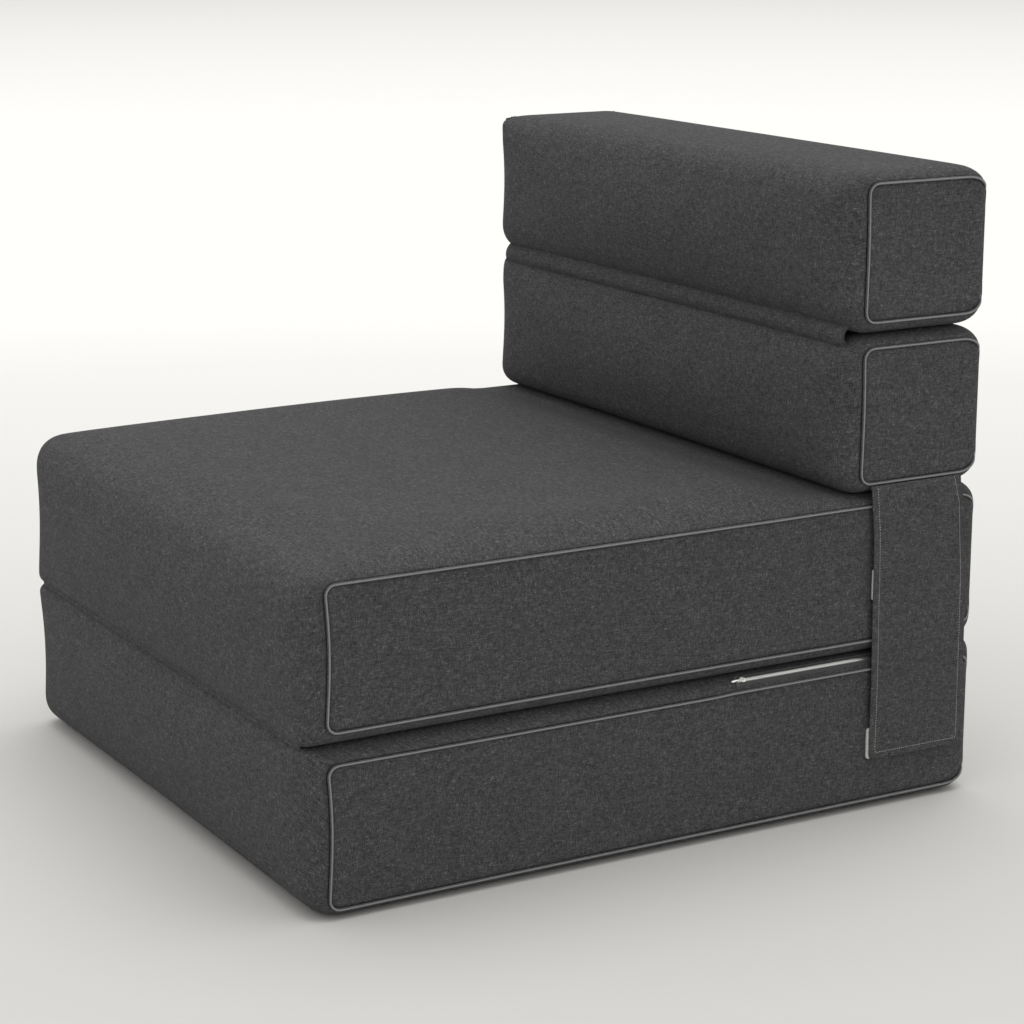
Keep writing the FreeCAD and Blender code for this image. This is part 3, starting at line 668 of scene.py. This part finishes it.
# A fabric hinge: a strip sewn to the covers above and below a fold, closed, 1.2 mm thick.
def makeHinge(name, s):
    low, high = (np.array(c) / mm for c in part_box(f"{name}_hinge_strip"))
    foldZ = (low[2] + high[2]) / 2
    reach = high[0] + s["more"]
    outward = -1 if s["front"] else 1
    xs = np.linspace(-reach, reach, 92)
    lines = []
    for k, block in enumerate(s["blocks"]):
        band = blocks[block]["band"]
        z = foldZ + (s["half"] if k else -s["half"])
        ringX = band[:, :, 0].mean(1)
        middleY = band[:, :, 1].mean()
        ys = []
        for ring in band:
            chosen = ring[(ring[:, 1] < middleY) == s["front"]]
            order = np.argsort(chosen[:, 2])
            ys.append(np.interp(z, chosen[order, 2], chosen[order, 1]))
        y = np.interp(xs, ringX, ys)
        lines.append(np.column_stack([xs, y - outward * s["sink"], np.full(len(xs), z)]))
    steps = np.linspace(0, 1, 13)
    rows = []
    for t in steps:
        row = lines[0] * (1 - t) + lines[1] * t
        row[:, 1] += outward * s["bow"] * math.sin(math.pi * t) ** 0.8
        row[:, 1] += 0.35 * np.sin(xs / 61 + 5 * t) * math.sin(math.pi * t)
        rows.append(row)
    outer = np.array(rows)
    curl = np.sin(math.pi * steps)[:, None] * 2.5
    outer[:, 0, 0] += curl[:, 0]
    outer[:, -1, 0] -= curl[:, 0]
    inner = outer.copy()
    inner[..., 1] -= outward * hingeWall
    points = np.concatenate([outer.reshape(-1, 3), inner.reshape(-1, 3)])
    count = outer.shape[0] * outer.shape[1]
    index = np.arange(count).reshape(outer.shape[:2])
    arc = np.concatenate([[0], np.cumsum(np.linalg.norm(outer[1:, 5] - outer[:-1, 5], axis=1))])
    places = np.stack(np.broadcast_arrays(xs[None, :], arc[:, None]), -1)
    front = outward > 0
    grids = [(index, places, not front), (index + count, places, front)]
    edges = ((index[0], front), (index[-1], not front), (index[:, 0], not front), (index[:, -1], front))
    for line, flip in edges:
        rim = np.stack([line, line + count])
        flat = points[rim][..., [0, 2]]
        grids.append((rim, flat, not flip))
    faces, weave = joinGrids(grids)
    piece = makePiece(f"{name}_hinge", points, faces, linen, weave, 1)
    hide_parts(f"{name}_hinge_strip")
    y = float(outer[6, 40, 1])
    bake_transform(piece)


for name, s in hingeSettings.items():
    makeHinge(name, s)
print("hinge strips made")


# Each edge: share of the way down, and mm towards the rear from the model's edge there.
flapSettings = {
    "thickness": 1.5,  # mm
    "corner": 7,
    "hem": 9,  # width of the turned and stitched edge
    "hemRise": 0.45,
    "stitchLength": 1.9,
    "stitchPitch": 3.0,
    "stitchRadius": 0.38,
    "frontEdge": ((0, 1), (0.16, 5.5), (0.34, 7), (0.64, 8), (1, 9)),
    "rearEdge": ((0, -5), (0.05, -1), (0.1, 3), (0.32, 8), (0.74, 10), (1, 10)),
    "wave": 0.9,
    "rowCount": 72,
}


def makeFlap(side, s):
    end = "right" if side > 0 else "left"
    low, high = (np.array(c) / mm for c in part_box(f"flap_{end}"))
    top, bottom = high[2] - 1.5, low[2]
    outerX = high[0] if side > 0 else low[0]
    middleX = abs(outerX) - s["thickness"] / 2 - 0.1
    fall = [0, 0.6, 1.6, 3, 5, s["corner"], s["corner"] + 2.5]
    downs = list(np.linspace(top, bottom + fall[-1], s["rowCount"])) + [bottom + f for f in fall[-2::-1]]
    edge = np.array([0, 0.012, 0.04, 0.068, 0.085, 0.11])  # closer together at the hem
    across = np.concatenate([edge, np.linspace(0.15, 0.85, 15), 1 - edge[::-1]])
    rows = []
    for z in downs:
        t = (top - z) / (top - bottom)
        y0 = low[1] + np.interp(t, *zip(*s["frontEdge"]))
        y1 = high[1] + np.interp(t, *zip(*s["rearEdge"]))
        left = z - bottom
        if left < s["corner"]:
            inset = s["corner"] - math.sqrt(max(s["corner"] ** 2 - (s["corner"] - left) ** 2, 0))
            y0, y1 = y0 + inset, y1 - inset
        y = y0 + (y1 - y0) * across
        hang = smoothStep(t, 0.05, 0.3)
        ripple = np.sin(t * 11 + across * 3.0) * 0.5 + np.sin(t * 5 - across * 2.2) * 0.5
        x = middleX + s["wave"] * hang * ripple
        x = np.where(t < 0.012, x - 2.2 * (1 - t / 0.012) ** 2, x)
        rows.append(np.column_stack([side * x, y, np.full(len(y), z)]))
    middle = np.array(rows)
    sideGap = np.minimum(middle[..., 1] - middle[:, :1, 1], middle[:, -1:, 1] - middle[..., 1])
    edgeGap = np.minimum(sideGap, middle[..., 2] - bottom)
    rise = s["hemRise"] * (1 - smoothStep(edgeGap, s["hem"], s["hem"] + 1.5))
    dent = 0.35 * np.exp(-((edgeGap - s["hem"] + 1.2) / 1.0) ** 2)
    soft = np.clip(edgeGap / 1.0, 0.25, 1)
    half = s["thickness"] / 2 * soft
    outer, inner = middle.copy(), middle.copy()
    outer[..., 0] += side * (half + rise - dent)
    inner[..., 0] -= side * half
    points = np.concatenate([outer.reshape(-1, 3), inner.reshape(-1, 3)])
    count = outer.shape[0] * outer.shape[1]
    index = np.arange(count).reshape(outer.shape[:2])
    places = middle[..., 1:].copy()
    places[..., 0] *= side
    grids = [(index, places, side > 0), (index + count, places, side < 0)]
    for line, flip in ((index[0], False), (index[-1], True), (index[:, 0], True), (index[:, -1], False)):
        rim = np.stack([line, line + count])
        grids.append((rim, points[rim][..., 1:], flip == (side > 0)))
    faces, weave = joinGrids(grids)
    piece = makePiece(f"flap_cloth_{end}", points, faces, linen, weave, 1)
    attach(piece, f"{end}_flap")
    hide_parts(f"flap_{end}")
    stitches = makeStitches(f"flap_stitches_{end}", outer, s, side)
    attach(stitches, f"{end}_flap")


# Top stitching along a flap's free edges: short capsules of thread.
def makeStitches(name, outer, s, side):
    inset = s["hem"] - 1.2

    def edgeLine(step):
        line = []
        for row in outer:
            ys = row[:, 1] if step > 0 else row[::-1, 1]
            xs = row[:, 0] if step > 0 else row[::-1, 0]
            y = ys[0] + step * inset
            order = np.argsort(ys)
            line.append([np.interp(y, ys[order], xs[order]), y, row[0, 2]])
        return np.array(line)

    bottom = outer[..., 2].min()
    front, rear = (line[line[:, 2] > bottom + inset + 3] for line in (edgeLine(1), edgeLine(-1)))
    lowRow = outer[np.argmin(abs(outer[:, 0, 2] - bottom - inset))]
    turn = []
    y0, y1 = front[-1, 1], rear[-1, 1]
    for angle in np.radians(np.linspace(0, 90, 6)[1:]):
        along, down = 3 * (1 - math.cos(angle)), 3 * (1 - math.sin(angle))
        turn.append([front[-1, 0], y0 + along, bottom + inset + down])
    for y in np.linspace(y0 + 3, y1 - 3, 40)[1:-1]:
        turn.append([np.interp(y, lowRow[:, 1], lowRow[:, 0]), y, bottom + inset])
    for angle in np.radians(np.linspace(0, 90, 6)):
        along, down = 3 * (1 - math.sin(angle)), 3 * (1 - math.cos(angle))
        turn.append([rear[-1, 0], y1 - along, bottom + inset + down])
    path = np.concatenate([front, turn, rear[::-1]])
    lengths = np.concatenate([[0], np.cumsum(np.linalg.norm(path[1:] - path[:-1], axis=1))])
    spots = np.arange(4, lengths[-1] - 2, s["stitchPitch"])
    places = np.stack([np.interp(spots, lengths, path[:, k]) for k in range(3)], 1)
    ahead = np.stack([np.interp(spots + 0.5, lengths, path[:, k]) for k in range(3)], 1)
    direction = ahead - places
    direction /= np.linalg.norm(direction, axis=1, keepdims=True)
    outwardX = np.array([side, 0, 0])
    across = np.cross(direction, outwardX)
    half, r = s["stitchLength"] / 2, s["stitchRadius"]
    points, faces = [], []
    for p, d, a in zip(places, direction, across):
        first = len(points)
        for along, width in ((-1, 0.15), (-0.7, 0.8), (0, 1.05), (0.7, 0.8), (1, 0.15)):
            for angle in np.radians(np.arange(0, 360, 60)):
                lift = 0.12 - 0.25 * along * along
                points.append(
                    p + d * along * half + a * math.cos(angle) * r * width
                    + outwardX * (math.sin(angle) * r * width * 0.8 + lift)
                )
        ring = np.arange(30).reshape(5, 6) + first
        faces.append(gridFaces(wrapRings(ring), side < 0))
        faces.append(ring[0][[[0, 1, 2, 3], [0, 3, 4, 5]]])
        faces.append(ring[-1][[[3, 2, 1, 0], [5, 4, 3, 0]]])
    return makePiece(name, np.array(points), np.concatenate(faces), stitchThread)


# Spun polyester sewing thread: twisted, so each stitch has fine slanting bands.
threadSettings = {"stops": ((0.35, "#8f8f8d"), (0.6, "#b9b9b6")), "twist": 0.5, "roughness": 0.6}


def makeThread(name, s):
    material, tree, shader = startMaterial(name)
    place = addNode(tree, "ShaderNodeTexCoord").outputs["Object"]
    wave = addNode(
        tree, "ShaderNodeTexWave",
        {"Vector": place, "Scale": 1 / (s["twist"] * mm) / 6.283, "Distortion": 1.0},  # bands per turn
        bands_direction="DIAGONAL",
    )
    ramp = addNode(tree, "ShaderNodeValToRGB", {0: wave.outputs["Fac"]})
    setRamp(ramp, s["stops"])
    bump = addNode(
        tree, "ShaderNodeBump", {"Height": wave.outputs["Fac"], "Distance": 0.1 * mm, "Strength": 0.5}
    )
    tree.links.new(ramp.outputs[0], shader.inputs["Base Color"])
    tree.links.new(bump.outputs[0], shader.inputs["Normal"])
    shader.inputs["Roughness"].default_value = s["roughness"]
    shader.inputs["Sheen Weight"].default_value = 0.2
    return material


stitchThread = makeThread("polyesterSewingThread", threadSettings)

for side in (-1, 1):
    makeFlap(side, flapSettings)
print("flaps made")


# Hook and loop tape, woven nylon: the loop side is a pale fuzz, the hook side dark and stubbly.
# Zip tape, woven polyester, dark and dull. Each grain is in mm, and stands for finer threads that
# wouldn't show.
tapeSettings = {
    "loop": {"stops": ((0.35, "#b9b9b6"), (0.65, "#f2f2ef")), "grain": 1.1, "bump": 0.5, "roughness": 0.9},
    "hook": {"stops": ((0.35, "#2b2b2c"), (0.65, "#4a4a4b")), "grain": 1.5, "bump": 0.6, "roughness": 0.6},
    "zip": {"stops": ((0.35, "#2c2d2e"), (0.65, "#434445")), "grain": 0.8, "bump": 0.2, "roughness": 0.85},
}


def makeTape(name, s):
    material, tree, shader = startMaterial(name)
    place = addNode(tree, "ShaderNodeTexCoord").outputs["Object"]
    fuzz = addNode(
        tree, "ShaderNodeTexNoise",
        {"Vector": place, "Scale": 1 / (s["grain"] * mm), "Detail": 4.0, "Roughness": 0.6},
    )
    ramp = addNode(tree, "ShaderNodeValToRGB", {0: fuzz.outputs[0]})
    setRamp(ramp, s["stops"])
    bump = addNode(
        tree, "ShaderNodeBump", {"Height": fuzz.outputs[0], "Distance": s["bump"] * mm, "Strength": 0.9}
    )
    tree.links.new(ramp.outputs[0], shader.inputs["Base Color"])
    tree.links.new(bump.outputs[0], shader.inputs["Normal"])
    shader.inputs["Roughness"].default_value = s["roughness"]
    shader.inputs["Sheen Weight"].default_value = 0.3
    return material


loopTape = makeTape("nylonLoopTape", tapeSettings["loop"])
hookTape = makeTape("nylonHookTape", tapeSettings["hook"])
zipTape = makeTape("wovenZipTape", tapeSettings["zip"])


# Patches with rounded corners between two planes of x, their faces a little crowned.
def makePatches(name, node, heights, material, body, shift, corner=3.0):
    low, high = (np.array(c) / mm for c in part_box(node))
    side = 1 if low[0] > 0 else -1
    counts = (12, 4, 4)
    inX, outX = sorted((low[0], high[0]), key=abs)
    layers = [
        (inX, 0),
        (outX - side * 0.5, 0),
        (outX - side * 0.12, 0.15),
        (outX, 0.7),
        (outX + side * 0.05, 3),
    ]
    allPoints, allFaces, first = [], [], 0
    for lowZ, highZ in heights:
        start, end = np.array([low[1] + shift, lowZ]), np.array([high[1] + shift, highZ])
        rings = []
        for x, inset in layers:
            loop = roundedLoop(start + inset, end - inset, (max(corner - inset * 0.6, 0.8),) * 4, counts)
            rings.append(np.column_stack([np.full(len(loop), x), loop]))
        rings = np.array(rings)
        points, _, inner, outer = closedForm(rings, counts)
        index = wrapRings(np.arange(rings.shape[0] * rings.shape[1]).reshape(rings.shape[:2]))
        faces = [gridFaces(index, side > 0), gridFaces(inner, side > 0), gridFaces(outer, side < 0)]
        allPoints.append(points)
        allFaces.append(np.concatenate(faces) + first)
        first += len(points)
    piece = makePiece(name, np.concatenate(allPoints), np.concatenate(allFaces), material)
    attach(piece, body)
    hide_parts(node)


# How far each patch lies towards the rear from its place in the model, in mm, as the flaps do.
patchSettings = {"lowerShift": 10.2, "upperShift": 11.6, "hookShift": 11.6}
for end in ("right", "left"):
    heights = []
    shifts = (("lower_seat", patchSettings["lowerShift"]), ("upper_seat", patchSettings["upperShift"]))
    for block, shift in shifts:
        low, high = (np.array(c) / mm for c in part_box(f"{block}_loops_{end}"))
        heights.append((low[2], high[2]))
        makePatches(
            f"{block}_loop_patch_{end}", f"{block}_loops_{end}", heights[-1:], loopTape, f"{block}_block",
            shift,
        )
    makePatches(
        f"flap_hook_patches_{end}", f"flap_hooks_{end}", heights, hookTape, f"{end}_flap",
        patchSettings["hookShift"],
    )

# Nickel-plated zinc zip parts: cast, tumbled and plated, bright with a faint satin.
metalSettings = {"colour": "#ececea", "roughness": 0.36, "grain": 0.6}


def makeMetal(name, s):
    material, tree, shader = startMaterial(name)
    place = addNode(tree, "ShaderNodeTexCoord").outputs["Object"]
    grain = addNode(
        tree, "ShaderNodeTexNoise", {"Vector": place, "Scale": 1 / (s["grain"] * mm), "Detail": 3.0}
    )
    spread = addNode(
        tree, "ShaderNodeMapRange", {0: grain.outputs[0], 3: s["roughness"] - 0.08, 4: s["roughness"] + 0.08}
    )
    bump = addNode(tree, "ShaderNodeBump", {"Height": grain.outputs[0], "Distance": 0.00003, "Strength": 0.4})
    tree.links.new(spread.outputs[0], shader.inputs["Roughness"])
    tree.links.new(bump.outputs[0], shader.inputs["Normal"])
    shader.inputs["Base Color"].default_value = linearColour(s["colour"])
    shader.inputs["Metallic"].default_value = 1.0
    return material


zipMetal = makeMetal("nickelPlatedZinc", metalSettings)
# The three zips of the left ends have zinc parts with a dark coating, dull grey to the eye.
darkZipMetal = makeMetal("blackNickelZinc", dict(metalSettings, colour="#5a5a5c"))
zipSettings = {
    "pitch": 2.4,  # mm from a tooth to the next of its row
    "reach": 2.3,
    "width": 1.3,
    "stand": 1.5,
    "tapeHalf": 5.5,
    "leftHeight": 0.4,  # how high the left zips' sliders and pulls stand, as a share of the right one's
    # slider: place along it, width and height, as shares of the next three
    "sliderRings": (
        (-1, 0.55, 0.3), (-0.85, 0.85, 0.8), (-0.3, 1, 1), (0.3, 0.95, 1), (0.85, 0.62, 0.85), (1, 0.3, 0.4),
    ),
    "sliderHalf": (3.6, 3.4, 1.15),
    "bridge": ((-2.4, 2.6), (-1.8, 3.5), (0, 3.9), (1.8, 3.5), (2.4, 2.6)),  # along and up, mm
    # pull: mm along it, half width, half thickness over 0.6
    "pullRings": (
        (0, 0.6, 0.5), (0.6, 1, 0.8), (4.5, 1.5, 0.8), (8, 1.9, 0.8), (9.4, 1.5, 0.7), (9.9, 0.7, 0.4),
    ),
}


# The frame of a zip: its end's side, the ways out of and across the edge it lies on, a point of its
# middle line, its metal, and how high its slider stands.
def zipFrame(name, s):
    side, start, end, zipX, zipZ = zipPlaces[name]
    h = math.sqrt(0.5)
    return {
        "side": side,
        "start": start,
        "end": end,
        "out": np.array([side * h, 0, h]),
        "across": np.array([side * h, 0, -h]),
        "base": np.array([side * zipX, 0, zipZ]),
        "metal": zipMetal if side > 0 else darkZipMetal,
        "height": 1.0 if side > 0 else s["leftHeight"],
    }


# Tape bent over the rounded edge.
def makeZipTape(name, s, z):
    side = z["side"]
    ys = np.linspace(z["start"] - 1, z["end"] + 1, 61)
    widths = np.linspace(-1, 1, 9)
    rows = []
    for layer in (0.75, -0.6):
        for w in widths:
            drop = layer - 0.75 * w * w - (0.5 if abs(w) == 1 and layer > 0 else 0)
            spot = z["base"] + z["out"] * drop + z["across"] * w * s["tapeHalf"]
            rows.append(np.column_stack([np.full(len(ys), spot[0]), ys, np.full(len(ys), spot[2])]))
    rows = np.array(rows)
    rows[9:] = rows[9:][::-1]
    index = np.arange(rows.shape[0] * len(ys)).reshape(rows.shape[0], len(ys))
    index = np.vstack([index, index[:1]])
    faces = [gridFaces(index, side < 0)]
    for column, flip in ((0, side > 0), (-1, side < 0)):
        line = index[:-1, column]
        pair = np.stack([line[:9], line[9:][::-1]])
        faces.append(gridFaces(pair, flip))
    tape = makePiece(f"{name}_tape", rows.reshape(-1, 3), np.concatenate(faces), zipTape)
    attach(tape, f"{name}_block")
    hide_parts(f"{name}_zip_tape")


# Two rows of teeth that mesh.
def makeZipTeeth(name, s, z):
    points, faces = [], []
    for k, y in enumerate(np.arange(z["start"] + 1.2, z["end"] - 1, s["pitch"] / 2)):
        way = 1 if k % 2 else -1
        first = len(points)
        for along, wide, tall in ((-1, 0.75, 0.6), (-0.6, 1, 1), (0.35, 0.95, 1.05), (0.75, 0.6, 0.75)):
            for a, b in ((-1, 0), (-0.7, 1), (0.7, 1), (1, 0)):
                points.append(
                    z["base"] + np.array([0, y, 0]) + z["across"] * way * along * s["reach"]
                    + np.array([0, 1, 0]) * a * s["width"] / 2 * wide
                    + z["out"] * (0.6 + b * s["stand"] * tall)
                )
        ring = np.arange(16).reshape(4, 4) + first
        flip = (way * z["side"]) > 0
        faces.append(gridFaces(wrapRings(ring), not flip))
        faces.append([ring[0] if flip else ring[0][::-1], ring[-1][::-1] if flip else ring[-1]])
    teeth = makePiece(f"{name}_teeth", np.array(points), np.concatenate(faces), z["metal"])
    teeth.data.polygons.foreach_set("use_smooth", [False] * len(teeth.data.polygons))
    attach(teeth, f"{name}_block")
    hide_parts(f"{name}_zip_teeth")


# A slider, a rounded shell over the teeth with a wire bridge on it.
def makeZipSlider(name, s, z):
    low, high = (np.array(c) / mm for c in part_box(f"{name}_zip_slider"))
    centre = z["base"] + np.array([0, (low[1] + high[1]) / 2, 0])
    halfLong, halfWide, halfTall = s["sliderHalf"]
    angles = np.radians(np.arange(0, 360, 30))
    aside = np.sign(np.cos(angles)) * np.abs(np.cos(angles)) ** 0.6
    above = np.sign(np.sin(angles)) * np.abs(np.sin(angles)) ** 0.6
    rings = []
    for along, wide, tall in s["sliderRings"]:
        sideways = aside * halfWide * wide
        up = 1.3 + 0.6 * z["height"] + z["height"] * above * halfTall * tall
        spot = centre + np.array([0, 1, 0]) * along * halfLong
        rings.append(spot + sideways[:, None] * z["across"] + up[:, None] * z["out"])
    rings = np.array(rings)
    index = wrapRings(np.arange(rings.shape[0] * 12).reshape(-1, 12))
    lastRing = len(index) * 12 - 12
    ends = np.array([np.arange(12), np.arange(lastRing, lastRing + 12)[::-1]])
    caps = ends[:, [[0, 1, 10, 11], [1, 2, 9, 10], [2, 3, 8, 9], [3, 4, 7, 8], [4, 5, 6, 7]]].reshape(-1, 4)
    path = [
        centre + z["out"] * (1.3 + (up - 1.3) * z["height"]) + np.array([0, along, 0])
        for along, up in s["bridge"]
    ]
    bridge, bridgeFaces, _ = tubeAlong(np.array(path), 0.5, 8, False)
    faces = np.concatenate([gridFaces(index, z["side"] < 0), caps, bridgeFaces + rings.shape[0] * 12])
    points = np.concatenate([rings.reshape(-1, 3), bridge])
    slider = makePiece(f"{name}_slider_body", points, faces, z["metal"], subdivide=1)
    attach(slider, f"{name}_slider")
    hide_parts(f"{name}_zip_slider")
    return centre


# A pull, a wire ring through the bridge with a flat drop-shaped tab.
def makeZipPull(name, s, z, centre):
    turns = np.radians(np.linspace(0, 360, 25)[:-1])
    hang = centre + z["out"] * (1.3 + 1.9 * z["height"]) - np.array([0, 2.5, 0])
    path = [hang + z["across"] * 2.0 * math.sin(t) + np.array([0, 1, 0]) * 2.6 * math.cos(t) for t in turns]
    ring, ringFaces, _ = tubeAlong(np.array(path), 0.55, 8, True)
    angles = np.radians(np.arange(0, 360, 45))
    tab = []
    for along, wide, tall in s["pullRings"]:
        spot = hang - np.array([0, 2.4 + along, 0]) - z["out"] * along * 0.16
        tab.append(
            spot + np.cos(angles)[:, None] * z["across"] * wide
            + np.sin(angles)[:, None] * z["out"] * tall * 0.6
        )
    tab = np.array(tab)
    index = wrapRings(np.arange(tab.shape[0] * 8).reshape(-1, 8)) + len(ring)
    caps = np.array([[0, 1, 2, 3], [0, 3, 4, 7], [4, 5, 6, 7]]) + len(ring)
    lastRing = (tab.shape[0] - 1) * 8
    faces = np.concatenate([ringFaces, gridFaces(index, z["side"] > 0), caps, caps[:, ::-1] + lastRing])
    points = np.concatenate([ring, tab.reshape(-1, 3)])
    pull = makePiece(f"{name}_pull_tab", points, faces, z["metal"], subdivide=1)
    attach(pull, f"{name}_pull")
    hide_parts(f"{name}_zip_pull")


# A zip along the upper edge of a block's end.
def makeZip(name, s):
    z = zipFrame(name, s)
    makeZipTape(name, s, z)
    makeZipTeeth(name, s, z)
    centre = makeZipSlider(name, s, z)
    makeZipPull(name, s, z, centre)


for name in cushionSettings:
    makeZip(name, zipSettings)
print("zips made")


studioSettings = {
    # the floor's colour holds a painted pool of light: palest round the point "middle", painted darker near
    # the blocks and far off, its stops going from the palest tone to the darkest
    "floor": {
        "size": 160,
        "middle": (-6.5, 3.2),
        "far": 12,
        "nearFade": (2.5, 7.5),
        "farFade": (5.5, 18.0),
        "farPaintedShadeRange": (0.25, 0.62),
        "stops": (
            (0.0, "#e9e8e6"), (0.33, "#e8e7e5"), (0.52, "#d8d7d5"), (0.66, "#cac9c7"), (1.0, "#cac9c7"),
        ),
    },
    "world": 0.9,
    "sun": {"turn": (-10, -6), "angle": 60, "strength": 1.15},
}


# Matt painted studio floor with the faintest mottle, and a painted pool of light: its colour is palest round
# a point behind the blocks and painted darker near the blocks and far off.
def makeStudio(s):
    f = s["floor"]
    half = f["size"] / 2
    steps = np.linspace(-half, half, 9)
    points = np.array([[x, y, 0] for x in steps for y in steps]) / mm
    points[:, :2] += np.array([0.0, 1.0]) / mm
    index = np.arange(81).reshape(9, 9)
    material, tree, shader = startMaterial("mattFloorWithPaintedLightPool")
    place = addNode(tree, "ShaderNodeTexCoord").outputs["Object"]
    fromPoolMiddle = addNode(
        tree, "ShaderNodeVectorMath", {0: place, 1: (*f["middle"], 0)}, operation="DISTANCE"
    ).outputs["Value"]
    away = addNode(tree, "ShaderNodeVectorMath", {0: place}, operation="LENGTH").outputs["Value"]
    start, end = f["nearFade"]
    near = addNode(tree, "ShaderNodeMapRange", {0: away, 1: start, 2: end, 3: 1 / f["far"], 4: 0.0})
    nearPaintedShade = addNode(
        tree, "ShaderNodeMath", {0: fromPoolMiddle, 1: near.outputs[0]}, operation="MULTIPLY"
    ).outputs[0]
    start, end = f["farFade"]
    low, high = f["farPaintedShadeRange"]
    farPaintedShade = addNode(tree, "ShaderNodeMapRange", {0: away, 1: start, 2: end, 3: low, 4: high}).outputs[0]
    # how much painted shade the floor gets: the larger of the painted darkening near the blocks and far off
    share = addNode(tree, "ShaderNodeMath", {0: nearPaintedShade, 1: farPaintedShade}, operation="MAXIMUM")
    mottle = addNode(tree, "ShaderNodeTexNoise", {"Vector": place, "Scale": 3.0})
    faint = addNode(
        tree, "ShaderNodeMath", {0: mottle.outputs[0], 1: 0.01, 2: share.outputs[0]}, operation="MULTIPLY_ADD"
    )
    ramp = addNode(tree, "ShaderNodeValToRGB", {0: faint.outputs[0]})
    setRamp(ramp, f["stops"])
    tree.links.new(ramp.outputs[0], shader.inputs["Base Color"])
    shader.inputs["Roughness"].default_value = 0.95
    shader.inputs["Specular IOR Level"].default_value = 0.1
    floor = makePiece("floor", points, gridFaces(index), material)
    world = bpy.data.worlds.new("studio")
    world.use_nodes = True
    world.node_tree.nodes["Background"].inputs[0].default_value = linearColour("#fffefc")
    world.node_tree.nodes["Background"].inputs[1].default_value = s["world"]
    bpy.context.scene.world = world
    data = bpy.data.lights.new("sun", "SUN")  # a large overhead softbox, the same everywhere
    data.energy = s["sun"]["strength"]
    data.angle = math.radians(s["sun"]["angle"])
    sun = bpy.data.objects.new("sun", data)
    sun.rotation_euler = [math.radians(a) for a in (*s["sun"]["turn"], 0)]
    bpy.context.scene.collection.objects.link(sun)


makeStudio(studioSettings)
print("studio made")
